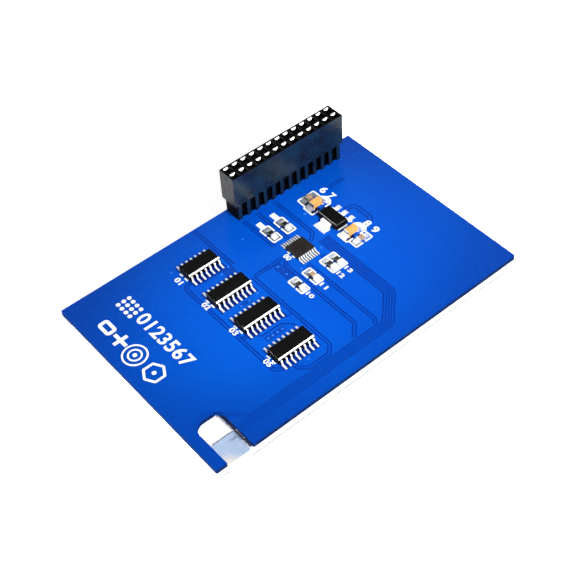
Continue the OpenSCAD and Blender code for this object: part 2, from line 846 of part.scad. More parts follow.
// Outline of a strip folded round an edge: out at z0, up and back in at z1
function fold(inside, out, back, z0, z1, t, r) = concat(
  [[inside, z0 - t / 2]],
  arc([out - r, z0 + r], r + t / 2, 270, 360, 6),
  arc([out - r, z1 - r], r + t / 2, 0, 90, 6),
  [[back, z1 + t / 2], [back, z1 - t / 2]],
  arc([out - r, z1 - r], r - t / 2, 90, 0, 6),
  arc([out - r, z0 + r], r - t / 2, 360, 270, 6),
  [[inside, z0 + t / 2]]
);

flex_z = z_board - solder_t - flex_t / 2;

module display_flex() {
  color("#c98a3a") along_y(flex_w)
    polygon(fold(ledge_end - flex_root, display_l / 2 + flex_bend_r + flex_t / 2,
                 board_l / 2 - flex_reach, z_rear_glass - flex_t / 2, flex_z, flex_t, flex_bend_r));
}

module display_flex_solder() {
  color("#dfe2e5")
    translate([board_l / 2 - flex_reach + flex_pad[0] / 2 + flex_pad_in, 0, z_board - solder_t])
      rotate(90) row(flex_pads, flex_pad_pitch) translate([-flex_pad[1] / 2, -flex_pad[0] / 2, 0])
        cube([flex_pad[1], flex_pad[0], solder_t]);
}

// ---- Touch panel ----

module ring(z, t) {
  outer = 2 * layer_inset;
  inner = outer + 2 * gasket_w;
  difference() {
    sheet(display_l - outer, display_w - outer, t, z);
    sheet(display_l - inner, display_w - inner, t + 2, z - 1);
  }
}

module touch_gasket() {
  color("#e4e5e2") ring(z_gasket, gasket_t);
}

module touch_glass() {
  color("#b9cdc9") sheet(display_l, display_w, touch_glass_t, z_touch_glass);
}

tail_mid = tail_x + tail_band / 2 - board_l / 2;

module touch_bond() {
  color("#c9ced0") difference() {
    ring(z_bond, bond_t);
    translate([tail_mid - tail_band / 2 - tail_clear_bond, -display_w, z_bond - 1])
      cube([tail_band + 2 * tail_clear_bond, display_w / 2 + gasket_w, bond_t + 2]);
  }
}

module touch_film() {
  color("#9fb0b4") sheet(display_l, display_w, film_t, 0);
}

branch_y = tail_back - display_w / 2 - tail_branch_w / 2 - tail_branch_in;
ramp_x = finger_w + notch_w - board_l / 2 + tail_ramp_in;

// The tail comes out between film and glass, folds over the back and branches off under the board
module touch_tail() {
  over = z_back + bond_t / 2;
  under = z_board - solder_t - bond_t / 2;
  to = ramp_x - tail_ramp_in + tail_branch_l;
  color("#c7cbd0") {
    translate([tail_mid, 0, 0]) rotate(180) along_x(tail_band)
      polygon(fold(display_w / 2 - tail_root, display_w / 2 + tail_bend_r + bond_t / 2,
                   display_w / 2 - tail_back, z_bond + bond_t / 2, over, bond_t, tail_bend_r));
    translate([0, branch_y, 0]) along_y(tail_branch_w)
      polygon([
        [tail_mid, z_back], [ramp_x, z_back], [ramp_x + tail_ramp, under - bond_t / 2],
        [to, under - bond_t / 2], [to, under + bond_t / 2], [ramp_x + tail_ramp, under + bond_t / 2],
        [ramp_x, z_back + bond_t], [tail_mid, z_back + bond_t]
      ]);
  }
}

module touch_tail_solder() {
  color("#dfe2e5")
    translate([ramp_x + tail_ramp + tail_pad_in + tail_pad[0] / 2, branch_y, z_board - solder_t])
      rotate(90) row(tail_pads, tail_branch_w / tail_pads)
        translate([-tail_pad[1] / 2, -tail_pad[0] / 2, 0]) cube([tail_pad[1], tail_pad[0], solder_t]);
}

// ---- Nodes ----

pcb();
header_housing();
header_spacer();
header_front_contacts();
header_back_contacts();
header_solder();
inverter_body();
inverter_leads();
counter_body();
counter_leads();
shift_register_a_body();
shift_register_a_leads();
shift_register_b_body();
shift_register_b_leads();
logic_solder();
touch_controller_body();
touch_controller_leads();
touch_controller_solder();
regulator_body();
regulator_leads();
regulator_tab();
regulator_solder();
input_capacitor_body();
input_capacitor_ends();
output_capacitor_body();
output_capacitor_ends();
power_capacitor_solder();
small_capacitor_bodies();
small_capacitor_ends();
resistor_bodies();
resistor_glaze();
resistor_ends();
small_part_solder();
foam_tape();
reflector();
backlight_frame();
light_guide();
backlight_lamps();
lamp_strip();
diffuser();
prism_sheet();
rear_polariser();
rear_glass();
front_glass();
front_polariser();
display_driver();
display_flex();
display_flex_solder();
touch_gasket();
touch_glass();
touch_bond();
touch_film();
touch_tail();
touch_tail_solder();
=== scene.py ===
"""Colour display module with a touch panel, seen from its component side.

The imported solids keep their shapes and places. This file gives every one of them its finish,
adds the copper pattern, the vias and the white print that are too thin to be solids, softens
the moulded edges, and sets up the table, the lamps and the camera.

Places on the board are in millimetres from the corner beside the notch, as in the part's source.
"""
import logging
import math
from collections.abc import Sequence
from dataclasses import dataclass
from enum import Enum

import bmesh
import bpy
from mathutils import Matrix, Vector


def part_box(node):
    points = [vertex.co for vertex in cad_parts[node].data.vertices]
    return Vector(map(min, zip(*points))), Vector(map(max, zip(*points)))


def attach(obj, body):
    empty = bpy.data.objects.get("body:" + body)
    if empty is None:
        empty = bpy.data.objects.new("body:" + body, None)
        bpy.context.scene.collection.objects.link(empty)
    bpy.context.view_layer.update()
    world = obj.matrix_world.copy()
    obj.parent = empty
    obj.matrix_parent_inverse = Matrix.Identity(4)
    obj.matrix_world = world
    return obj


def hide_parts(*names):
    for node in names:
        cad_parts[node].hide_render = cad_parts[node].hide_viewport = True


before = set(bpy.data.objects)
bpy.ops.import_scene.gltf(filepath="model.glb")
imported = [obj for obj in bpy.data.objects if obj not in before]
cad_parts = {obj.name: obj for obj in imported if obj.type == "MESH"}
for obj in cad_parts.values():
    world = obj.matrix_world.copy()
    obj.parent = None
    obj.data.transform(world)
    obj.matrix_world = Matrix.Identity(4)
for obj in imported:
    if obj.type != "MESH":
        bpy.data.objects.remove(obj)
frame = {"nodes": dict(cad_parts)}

MM = 0.001
ROOT = "root"
# How far up or down a surface looks where a sheet's edge gives way to its face.
FLAT = (0.4, 0.6)
# Spans of a noise: over the first one tone gives way to the other, over the second smooth to rough.
CLOUD_SPAN = (0.35, 0.65)
GLOSS_SPAN = (0.25, 0.75)
# Painted shade, near black, on the sides turned to the notched end: its colour, and how far a surface looks
# along X where it starts and where it covers all.
SIDE_SHADE_COLOUR = "#0B0A09"
SIDE_SHADE_SPAN = (-0.6, -0.85)
WHITE = (1.0, 1.0, 1.0, 1.0)

Pair = tuple[float, float]
Triple = tuple[float, float, float]
Colour = tuple[float, float, float, float]
Path = Sequence[Pair]
Tree = bpy.types.NodeTree
Socket = bpy.types.NodeSocket
Key = int | str
Inputs = dict[Key, object]

log = logging.getLogger("display_module")


def linear(code: str) -> Colour:
    """Turns an sRGB hex colour into the linear colour that the shaders want.

    Args:
        code: Six hex digits after a hash sign.

    Returns:
        Red, green, blue and an alpha of one, all linear.
    """
    parts = [int(code[i : i + 2], 16) / 255 for i in (1, 3, 5)]
    red, green, blue = (c / 12.92 if c <= 0.04045 else ((c + 0.055) / 1.055) ** 2.4 for c in parts)
    return red, green, blue, 1.0


def add(tree: Tree, kind: str, sockets: Inputs | None = None, **settings: object) -> bpy.types.Node:
    """Adds one node to a tree.

    Args:
        tree: Shader or geometry tree that gets the node.
        kind: Blender's name for the kind of node.
        sockets: For each input, by name or number, the socket that feeds it or its plain value.
        settings: The node's own settings.

    Returns:
        The new node.
    """
    node = tree.nodes.new(kind)
    for name, value in settings.items():
        setattr(node, name, value)
    feed(tree, node, sockets or {})
    return node


def feed(tree: Tree, node: bpy.types.Node, sockets: Inputs) -> None:
    """Sets inputs of a node, each from a socket that feeds it or from a plain value."""
    for key, value in sockets.items():
        if isinstance(value, Socket):
            tree.links.new(value, node.inputs[key])
        else:
            node.inputs[key].default_value = value


class Graph:
    """A node tree while it is drawn. Every method adds nodes and gives the socket that comes out."""

    def __init__(self, tree: Tree) -> None:
        """Takes a tree and empties it."""
        self.tree = tree
        tree.nodes.clear()

    def node(self, kind: str, sockets: Inputs | None = None, out: Key = 0, **settings: object) -> Socket:
        """Adds a node and gives one of its outputs."""
        return add(self.tree, kind, sockets, **settings).outputs[out]

    def maths(self, operation: str, *values: Socket | float) -> Socket:
        """Works out a number."""
        return self.node("ShaderNodeMath", dict(enumerate(values)), operation=operation)

    def vector(self, operation: str, *values: Socket | Triple, out: Key = 0) -> Socket:
        """Works out a vector, or a number where out is Value."""
        return self.node("ShaderNodeVectorMath", dict(enumerate(values)), out, operation=operation)

    def ramp(
        self, value: Socket, low: float, high: float, start: float = 0.0, end: float = 1.0, **way: str
    ) -> Socket:
        """Turns the span from low to high into the span from start to end, and stops at both ends."""
        sockets = {"Value": value, "From Min": low, "From Max": high, "To Min": start, "To Max": end}
        return self.node("ShaderNodeMapRange", sockets, **way)

    def noise(self, where: Socket, size: float, detail: float) -> Socket:
        """Gives clouds of about a size."""
        return self.node("ShaderNodeTexNoise", {"Vector": where, "Scale": 1 / size, "Detail": detail})

    def mix(self, share: Socket, first: Socket | float, second: Socket | float) -> Socket:
        """Goes from a first number at share 0 to a second at share 1."""
        return self.node("ShaderNodeMix", {0: share, 2: first, 3: second})

    def blend(self, share: Socket, first: Socket | str, second: Socket | str) -> Socket:
        """Goes from a first colour at share 0 to a second at share 1, each a socket or an sRGB hex colour."""
        first, second = (linear(c) if isinstance(c, str) else c for c in (first, second))
        return self.node("ShaderNodeMix", {0: share, 6: first, 7: second}, 2, data_type="RGBA")

    def part(self, vector: Socket, axis: str) -> Socket:
        """Gives one part of a vector."""
        return self.node("ShaderNodeSeparateXYZ", {0: vector}, axis)

    def normal(self) -> Socket:
        """Gives the way the surface looks."""
        return self.node("ShaderNodeNewGeometry", out="Normal")

    def facing(self, low: float, high: float) -> Socket:
        """Gives how far up or down the surface looks: 0 where its normal's Z is low, 1 where it is high."""
        return self.ramp(self.maths("ABSOLUTE", self.part(self.normal(), "Z")), low, high)

    def beside(self, where: Socket, middle: Triple, comparison: str, limits: Pair) -> list[Socket]:
        """For X and then Y, tells whether the distance from a middle stands the comparison with its limit."""
        away = self.vector("SUBTRACT", where, middle)
        sizes = [self.maths("ABSOLUTE", self.part(away, axis)) for axis in "XY"]
        return [self.maths(comparison, size, limit) for size, limit in zip(sizes, limits)]


# ---------------------------------------------------------------- finishes


@dataclass(frozen=True)
class Finish:
    """A surface as it is made: two close tones in clouds, a fine relief and a gloss that follows it.

    Lengths are in millimetres. A sheet whose edge is cut, sawn or ground has the edge's own colour and
    roughness. Its painted shade darkens the sides turned to the notched end by the given share.
    """

    name: str
    colour: str
    shade: str
    cloud: float = 5.0
    grain: float = 0.12
    height: float = 0.002
    rough: Pair = (0.3, 0.4)
    ior: float = 1.5
    specular: float = 0.5
    tint: str = "#FFFFFF"
    metal: float = 0.0
    clear: float = 0.0
    side_shade_share: float = 0.0
    edge: str | None = None
    edge_rough: float | None = None

    def paint_side_shade(self, graph: Graph, tone: Socket) -> Socket:
        """Paints shade, near black, on the sides turned to the notched end."""
        if not self.side_shade_share:
            return tone
        share = graph.ramp(graph.part(graph.normal(), "X"), *SIDE_SHADE_SPAN, 0.0, self.side_shade_share)
        return graph.blend(share, tone, SIDE_SHADE_COLOUR)

    def relief(self, graph: Graph, where: Socket) -> Socket:
        """Gives the height of the surface from 0 to 1 at a place in millimetres."""
        return graph.noise(where, self.grain, 3.0)

    def tone(self, graph: Graph, where: Socket) -> Socket:
        """Gives the colour at a place in millimetres."""
        share = graph.ramp(graph.noise(where, self.cloud, 4.0), *CLOUD_SPAN)
        return graph.blend(share, self.colour, self.shade)

    def extras(self, graph: Graph, where: Socket) -> Inputs:
        """Gives the inputs that only this kind of surface sets. A plain finish has none."""
        return {}

    def material(self) -> bpy.types.Material:
        """Builds the material.

        Returns:
            A new material that reads Object coordinates in millimetres.
        """
        made = bpy.data.materials.new(self.name)
        made.use_nodes = True
        graph = Graph(made.node_tree)
        place = graph.node("ShaderNodeTexCoord", out="Object")
        where = graph.node("ShaderNodeMapping", {"Vector": place, "Scale": (1 / MM, 1 / MM, 1 / MM)})
        height = self.relief(graph, where)
        tone = self.paint_side_shade(graph, self.tone(graph, where))
        # The roughness follows the relief.
        gloss = graph.ramp(height, *GLOSS_SPAN, *self.rough)
        if self.edge is not None:
            tone = graph.blend(graph.facing(*FLAT), self.edge, tone)
        if self.edge_rough is not None:
            gloss = graph.mix(graph.facing(*FLAT), self.edge_rough, gloss)
        shader = add(graph.tree, "ShaderNodeBsdfPrincipled", {
            "Base Color": tone,
            "Roughness": gloss,
            "Normal": graph.node("ShaderNodeBump", {"Height": height, "Distance": self.height * MM}),
            "IOR": self.ior,
            "Specular IOR Level": self.specular,
            "Specular Tint": linear(self.tint),
            "Metallic": self.metal,
            "Transmission Weight": self.clear,
        })
        feed(graph.tree, shader, self.extras(graph, where))
        add(graph.tree, "ShaderNodeOutputMaterial", {"Surface": shader.outputs["BSDF"]})
        return made


@dataclass(frozen=True)
class SolderMask(Finish):
    """Glossy mask, curtain-coated over copper and glass-fibre laminate.

    The weave of the glass shows as a faint square relief, and the sawn edge is dark, dead matt laminate.
    Towards the board's rim its colour carries painted shade, which deepens away from the middle. It is
    dyed, so that its highlights stay blue.
    """

    tint: str = "#0A62FF"
    edge: str = "#08204C"
    edge_rough: float = 1.0
    # Painted shade towards the board's rim.
    rim_shade: str = "#033B98"
    middle: Triple = (3.0, 1.5, 5.6)
    # One over the distance, in millimetres along each axis, at which the rim, and its painted shade, would be
    # reached.
    reach: Triple = (1 / 46, 1 / 31, 0.0)
    rim_shade_span: Pair = (0.45, 1.25)
    weave: float = 0.6
    weave_depth: float = 0.35

    def relief(self, graph: Graph, where: Socket) -> Socket:
        """Crosses two sets of threads and lays the mask's own slight ripple over them."""
        thread = {"Vector": where, "Scale": math.tau / 20 / self.weave, "Distortion": 0.6, "Detail": 1.0,
                  "Detail Scale": 0.4}
        threads = [graph.node("ShaderNodeTexWave", thread, "Fac", bands_direction=axis) for axis in "XY"]
        ripple = graph.noise(where, self.grain, 2.0)
        return graph.maths("MULTIPLY_ADD", graph.maths("MULTIPLY", *threads), self.weave_depth, ripple)

    def tone(self, graph: Graph, where: Socket) -> Socket:
        """Clouds of blue, with painted shade deeper towards the rim."""
        away = graph.vector("MULTIPLY", graph.vector("SUBTRACT", where, self.middle), self.reach)
        far = graph.vector("LENGTH", away, out="Value")
        deep = graph.ramp(far, *self.rim_shade_span, interpolation_type="SMOOTHSTEP")
        return graph.blend(deep, Finish.tone(self, graph, where), self.rim_shade)


@dataclass(frozen=True)
class Polished(Finish):
    """A matt surface with polish on some of it."""

    polish: float = 1.0
    haze: float = 0.16
    polish_ior: float = 1.7

    def polished(self, graph: Graph, where: Socket) -> Socket:
        """Gives 1 where the polish lies. Each kind has its own places."""
        raise NotImplementedError

    def extras(self, graph: Graph, where: Socket) -> Inputs:
        """Lays the polish as a coat."""
        coat = graph.maths("MULTIPLY", self.polished(graph, where), self.polish)
        return {"Coat Weight": coat, "Coat Roughness": self.haze, "Coat IOR": self.polish_ior}


@dataclass(frozen=True)
class HousingPlastic(Polished):
    """Black glass-filled polyester, moulded in a tool with polished outer walls.

    The top face, the sockets and the grooves are matt and deep black. The outer walls and the edge round
    the top mirror the board and the table, softly, and their colour carries a painted reflection of the
    blue board, in streaks. Skin is how far from the header's middle its outer walls begin.
    """

    polish: float = 0.5
    haze: float = 0.22
    polish_ior: float = 1.6
    # Painted reflection of the blue board on the outer walls, and the span of its streaks.
    board_reflection: str = "#0A2030"
    reflection_streak_span: Pair = (0.42, 0.7)
    steep: Pair = (0.55, 0.25)
    middle: Triple = (19.76, 25.35, 0.0)
    skin: Pair = (16.3, 2.3)

    def polished(self, graph: Graph, where: Socket) -> Socket:
        """Gives 1 on the outer walls and the edge round the top, and 0 on all the rest."""
        either = graph.maths("MAXIMUM", *graph.beside(where, self.middle, "GREATER_THAN", self.skin))
        return graph.maths("MULTIPLY", either, graph.facing(*self.steep))

    def tone(self, graph: Graph, where: Socket) -> Socket:
        """A deep black, and on the outer walls a painted reflection of the blue board, in streaks."""
        reflection_streaks = graph.ramp(graph.noise(where, self.cloud, 4.0), *self.reflection_streak_span)
        walls = graph.blend(reflection_streaks, self.board_reflection, self.shade)
        return graph.blend(self.polished(graph, where), self.colour, walls)


@dataclass(frozen=True)
class MouldedResin(Polished):
    """Epoxy moulded round a chip: its faces are eroded matt, and its chamfers come out glossy."""

    off_wall: Pair = (0.3, 0.5)
    off_top: Pair = (0.97, 0.85)

    def polished(self, graph: Graph, where: Socket) -> Socket:
        """Gives 1 on the slanted faces, so that a chamfer throws the lamp back as one bright line."""
        return graph.maths("MULTIPLY", graph.facing(*self.off_wall), graph.facing(*self.off_top))


@dataclass(frozen=True)
class Plating(Finish):
    """Tin plated on a stamped strip: bright metal with fine lines drawn along it by rolling.

    Matt tin scatters part of the light, so it counts as less than all metal.
    """

    metal: float = 1.0
    stretch: Triple = (1.0, 0.12, 0.12)

    def relief(self, graph: Graph, where: Socket) -> Socket:
        """Draws the grain out along one direction."""
        drawn = graph.node("ShaderNodeMapping", {"Vector": where, "Scale": self.stretch})
        return graph.noise(drawn, self.grain, 3.0)


@dataclass(frozen=True)
class SpringTin(Plating):
    """Bright tin on a contact's lips, with painted shade on the spring below them, deep in the socket."""

    socket_shade: str = "#12100E"
    lip: Pair = (19.18, 19.3)

    def tone(self, graph: Graph, where: Socket) -> Socket:
        """Bright above the lip's lower edge, in the frame's millimetres, and painted shade below it."""
        share = graph.ramp(graph.part(where, "Z"), *self.lip)
        return graph.blend(share, self.socket_shade, Plating.tone(self, graph, where))


@dataclass(frozen=True)
class Celled(Finish):
    """A surface of small cells: dimples where foam is cut, or facets where melted solder set as crystals."""

    feature: str = "F1"

    def relief(self, graph: Graph, where: Socket) -> Socket:
        """Gives each cell its own level."""
        cells = {"Vector": where, "Scale": 1 / self.grain}
        return graph.node("ShaderNodeTexVoronoi", cells, "Distance", feature=self.feature)


@dataclass(frozen=True)
class ClearSheet(Finish):
    """Glass or clear plastic that lets light through, with wipe marks that only its gloss shows.

    Its ground edge scatters the light, so it looks white and matt.
    """

    clear: float = 0.9
    edge: str = "#F6F9F8"
    edge_rough: float = 0.8

    def extras(self, graph: Graph, where: Socket) -> Inputs:
        """Lets light through the two faces."""
        return {"Transmission Weight": graph.maths("MULTIPLY", graph.facing(*FLAT), self.clear)}


@dataclass(frozen=True)
class TouchFace(Finish):
    """Hard-coated film over the display: the picture area shows dark through it, inside a silvery border."""

    edge: str = "#F2F5F4"
    picture: str = "#23272A"
    picture_shade: str = "#2A2F32"
    middle: Triple = (-1.8, 0.0, 0.1)
    half: Pair = (35.4, 23.0)

    def tone(self, graph: Graph, where: Socket) -> Socket:
        """Dark in the picture area and silvery round it."""
        dark = graph.blend(graph.noise(where, self.cloud, 2.0), self.picture, self.picture_shade)
        inside = graph.maths("MULTIPLY", *graph.beside(where, self.middle, "LESS_THAN", self.half))
        return graph.blend(inside, Finish.tone(self, graph, where), dark)


@dataclass(frozen=True)
class TailFilm(Finish):
    """Polyester film with silver tracks under a clear cover, which shows the white sheet behind it.

    It is cooler towards the notch's far side and warmer at its near corner, where it bends away. The bent
    part lies against the white frame and looks paler.
    """

    bent: str = "#EEF2F6"
    bent_span: Pair = (0.5, 0.9)
    warm: str = "#D9CDBB"
    warm_place: Triple = (-39.3, -28.0, 3.9)
    warm_reach: Pair = (3.6, 0.6)

    def tone(self, graph: Graph, where: Socket) -> Socket:
        """Blends the warm corner into the cool film."""
        cool = graph.blend(graph.facing(*self.bent_span), self.bent, Finish.tone(self, graph, where))
        near = graph.ramp(graph.vector("DISTANCE", where, self.warm_place, out="Value"), *self.warm_reach)
        return graph.blend(near, cool, self.warm)


class Stock(Enum):
    """Every finish on the module.

    Each gives its name, its two tones, the size of its clouds, the size and height of its grain and the
    span of its roughness, and then what is special about it.
    """

    # Blue mask over the copper pour: deep, even and glossy.
    BOARD = SolderMask(
        "solder_mask_over_copper", "#0256C8", "#014EC0", 22.0, 1.4, 0.006, (0.16, 0.3), specular=0.25
    )
    # The same mask straight on the laminate: no copper under it, so it looks darker.
    BARE_LAMINATE = SolderMask(
        "solder_mask_over_laminate", "#022F92", "#022987", 9.0, 1.4, 0.004, (0.2, 0.34), specular=0.25
    )
    # Wider fields without copper, where light comes back out of the laminate.
    BARE_FIELD = SolderMask(
        "solder_mask_over_bare_field", "#0A44A9", "#063C9F", 1.6, 1.4, 0.004, (0.2, 0.34), specular=0.25
    )
    # Mask drawn back round a row of pads: the dark laminate shows, darkened further as painted shade under
    # the leads.
    PAD_CLEARANCE_AND_SHADE = SolderMask(
        "laminate_and_shade_round_pads", "#052272", "#041B60", 1.2, 0.5, 0.006, (0.4, 0.55), specular=0.15
    )
    # Painted shade, near black, in the narrow bay inside a printed outline, where the part and its fillets
    # shade the laminate.
    SHADE_BAY = SolderMask(
        "painted_shade_under_parts", "#06143C", "#040D2A", 0.8, 0.5, 0.006, (0.45, 0.6), specular=0.1
    )
    # Mask over a copper ring: it bulges, so it looks lighter.
    VIA_CAP = SolderMask(
        "solder_mask_over_vias", "#2F78E8", "#2168DC", 3.0, 0.6, 0.004, (0.18, 0.3), specular=0.6,
        edge="#1C5CD0"
    )
    # Epoxy ink pushed through a screen: flat white with a slightly broken edge.
    PRINT = Finish(
        "screen_printed_white_ink", "#F6FAFD", "#EAF0F7", 1.1, 0.09, 0.004, (0.5, 0.68), specular=0.3
    )
    # Glass-filled polyester header on its ribbed spacer, matt on top and polished on its outer walls, which
    # carry a painted reflection of the blue board.
    HEADER = HousingPlastic(
        "moulded_black_polyester", "#020203", "#080E12", 4.0, 0.16, 0.0015, (0.42, 0.56), specular=0.02
    )
    # Phosphor bronze spring with bright tin on it, and painted shade on it below the lips.
    CONTACT = SpringTin(
        "bright_tin_on_bronze", "#FAF9F6", "#ECEAE5", 0.8, 0.1, 0.002, (0.3, 0.45), stretch=(1.0, 1.0, 0.15),
        metal=0.5
    )
    # Matt tin on the copper leads of the chips.
    LEAD = Plating(
        "matt_tin_on_copper", "#F8F9FB", "#E9EDF1", 0.9, 0.09, 0.003, (0.36, 0.52), stretch=(1.0, 0.15, 0.3),
        metal=0.2
    )
    # Lead-free solder, reflowed.
    SOLDER = Celled(
        "reflowed_solder", "#F6F8FA", "#E4E8ED", 0.5, 0.22, 0.008, (0.24, 0.42), metal=0.85,
        feature="SMOOTH_F1"
    )
    # Epoxy resin full of silica, moulded round the chip: a fine matt black.
    CHIP = MouldedResin(
        "transfer_moulded_epoxy", "#040404", "#0A0909", 2.2, 0.09, 0.006, (0.5, 0.66), specular=0.05
    )
    # The controller's resin is a shade browner and smoother.
    CONTROLLER = MouldedResin(
        "fine_moulded_epoxy", "#171413", "#211D1B", 1.6, 0.07, 0.004, (0.45, 0.6), specular=0.12, polish=0.4
    )
    # Fired titanate of the two large capacitors: tan, with a satin skin.
    CAPACITOR = Finish(
        "fired_tan_titanate", "#F2B765", "#E0A052", 0.7, 0.12, 0.006, (0.34, 0.5), specular=0.4
    )
    # The small capacitors are fired browner.
    # Its sides turned to the notched end carry painted shade.
    SMALL_CAPACITOR = Finish(
        "fired_buff_titanate", "#B9997A", "#A58566", 0.5, 0.1, 0.005, (0.36, 0.52), specular=0.4, side_shade_share=0.9
    )
    # White alumina under each resistor.
    # Its sides turned to the notched end carry painted shade.
    ALUMINA = Finish("fired_alumina", "#ECEBE6", "#DDDBD4", 0.5, 0.08, 0.006, (0.5, 0.7), side_shade_share=0.95)
    # Glass glaze over the resistor's film.
    GLAZE = Finish("black_glass_glaze", "#131417", "#1C1E22", 0.6, 0.2, 0.003, (0.14, 0.26))
    # Tin over nickel on the end bands.
    # Its sides turned to the notched end carry painted shade.
    END_BAND = Plating(
        "barrel_plated_tin", "#F4F4F2", "#DDDEDC", 0.4, 0.11, 0.005, (0.34, 0.52), stretch=(1.0, 1.0, 1.0),
        side_shade_share=0.95
    )
    # Closed-cell tape between board and display.
    FOAM = Celled("closed_cell_foam_tape", "#EEEDE8", "#E2E0D9", 4.0, 0.22, 0.04, (0.75, 0.9))
    # Micro-voided film behind the light guide: brilliant white, slightly silky.
    REFLECTOR = Finish("micro_voided_polyester", "#FAFAF8", "#F3F3F0", 9.0, 0.3, 0.002, (0.3, 0.42))
    # Frame moulded in white polycarbonate.
    FRAME = Finish("moulded_white_polycarbonate", "#F2F2EE", "#E9E8E3", 8.0, 0.15, 0.003, (0.3, 0.44))
    # Acrylic plate that spreads the lamps' light.
    GUIDE = ClearSheet(
        "moulded_acrylic_guide", "#EAF4F5", "#E0EEF0", 6.0, 0.3, 0.002, (0.08, 0.18), ior=1.49, clear=0.8
    )
    # Yellow phosphor in silicone.
    LAMP = Finish("phosphor_in_silicone", "#F1D75A", "#E4C540", 0.6, 0.08, 0.01, (0.3, 0.45), ior=1.41)
    # Diffuser and prism sheets.
    OPTICAL_FILM = Finish("beaded_polyester", "#F1F3F3", "#E6E9EA", 6.0, 0.1, 0.006, (0.35, 0.5))
    # Dyed film on both sides of the display's glass.
    POLARISER = Finish("iodine_polariser", "#15171B", "#101215", 12.0, 0.5, 0.001, (0.12, 0.2))
    # Thin ground and etched glass.
    DISPLAY_GLASS = ClearSheet(
        "alkali_free_glass", "#DCE9E6", "#CFE0DC", 10.0, 0.8, 0.001, (0.03, 0.09), ior=1.51, clear=0.75
    )
    # Polished silicon.
    SILICON = Finish("lapped_silicon", "#3D4147", "#33373D", 2.0, 0.12, 0.001, (0.14, 0.24), ior=2.4)
    # Polyimide film over copper.
    FLEX = Finish("polyimide_over_copper", "#B9741F", "#A4621A", 2.5, 0.35, 0.006, (0.2, 0.34))
    # White foam between display and touch panel.
    GASKET = Celled("white_foam_gasket", "#ECEDEA", "#E2E3DF", 3.0, 0.2, 0.03, (0.7, 0.86))
    # Float glass under the touch film.
    TOUCH_GLASS = ClearSheet(
        "float_glass", "#DDECE6", "#CFE3DB", 14.0, 1.2, 0.001, (0.03, 0.08), ior=1.52, clear=0.8
    )
    # Hard-coated front film: silvery grey, with the display dark behind it.
    TOUCH_FILM = TouchFace(
        "hard_coated_polyester", "#C2CACB", "#B8C1C3", 18.0, 0.9, 0.001, (0.12, 0.2), ior=1.57
    )
    # Ring of adhesive.
    BOND = Finish("acrylic_adhesive", "#DDE0E1", "#D2D6D8", 3.0, 0.25, 0.006, (0.4, 0.56))
    # Touch panel's tail.
    TAIL = TailFilm("silver_printed_polyester", "#9DAEC8", "#92A5C0", 3.0, 0.5, 0.003, (0.22, 0.34))
    # Silver ink of the tail's tracks.
    TRACK = Finish("dull_silver_ink", "#59626F", "#4B535F", 0.6, 0.07, 0.003, (0.4, 0.55))

    def coat(self) -> bpy.types.Material:
        """Gives the material of this finish, and makes it the first time."""
        return bpy.data.materials.get(self.value.name) or self.value.material()


# ---------------------------------------------------------------- shared tools


def bring(name: str, data: bpy.types.ID) -> bpy.types.Object:
    """Brings a mesh, a curve, a lamp or a lens into the scene as an object."""
    made = bpy.data.objects.new(name, data)
    bpy.context.scene.collection.objects.link(made)
    return made


def outcome(shape: bpy.types.Object) -> bpy.types.Mesh:
    """Gives what an object's outline and modifiers make, as a plain mesh."""
    bpy.context.view_layer.update()
    state = bpy.context.evaluated_depsgraph_get()
    return bpy.data.meshes.new_from_object(shape.evaluated_get(state), depsgraph=state)


def settle(piece: bpy.types.Object) -> None:
    """Turns what a piece's modifiers make into its own plain mesh, and takes the modifiers off."""
    mesh = outcome(piece)
    mesh.name = piece.name
    piece.modifiers.clear()
    piece.data = mesh


class NodeTool(Graph):
    """A Geometry Nodes tree with named inputs, which is run on a mesh and then gone."""

    title = "tool"
    wants: dict[str, str] = {}

    def __init__(self) -> None:
        """Makes the tree and its sockets, one for each thing the tool wants, and fills the tree."""
        super().__init__(bpy.data.node_groups.new(self.title, "GeometryNodeTree"))
        face = self.tree.interface
        face.new_socket("Geometry", in_out="INPUT", socket_type="NodeSocketGeometry")
        self.keys: dict[str, str] = {}
        for label, kind in self.wants.items():
            socket = face.new_socket(label, in_out="INPUT", socket_type="NodeSocket" + kind)
            self.keys[label] = socket.identifier
        face.new_socket("Geometry", in_out="OUTPUT", socket_type="NodeSocketGeometry")
        self.given = add(self.tree, "NodeGroupInput").outputs
        self.close(self.build())

    def build(self) -> Socket:
        """Fills the tree and gives the shape. Each tool has its own."""
        raise NotImplementedError

    def close(self, shape: Socket) -> None:
        """Ends the tree in real, flat-faced geometry that wears its material."""
        crisp = self.node("GeometryNodeSetShadeSmooth", {"Geometry": shape, "Shade Smooth": False})
        real = self.node("GeometryNodeRealizeInstances", {0: crisp})
        worn = self.node("GeometryNodeSetMaterial", {"Geometry": real, "Material": self.given["Material"]})
        add(self.tree, "NodeGroupOutput", {0: worn})

    def run(self, name: str, base: bpy.types.Mesh, values: Inputs) -> bpy.types.Object:
        """Runs the tree on a mesh.

        Args:
            name: Name of the piece that it makes.
            base: Mesh that the tree starts from.
            values: Value of each named input.

        Returns:
            A piece with a plain mesh, not yet fixed to anything.
        """
        piece = bring(name, base)
        step = piece.modifiers.new(name, "NODES")
        step.node_group = self.tree
        for label, value in values.items():
            step[self.keys[label]] = value
        settle(piece)
        return piece


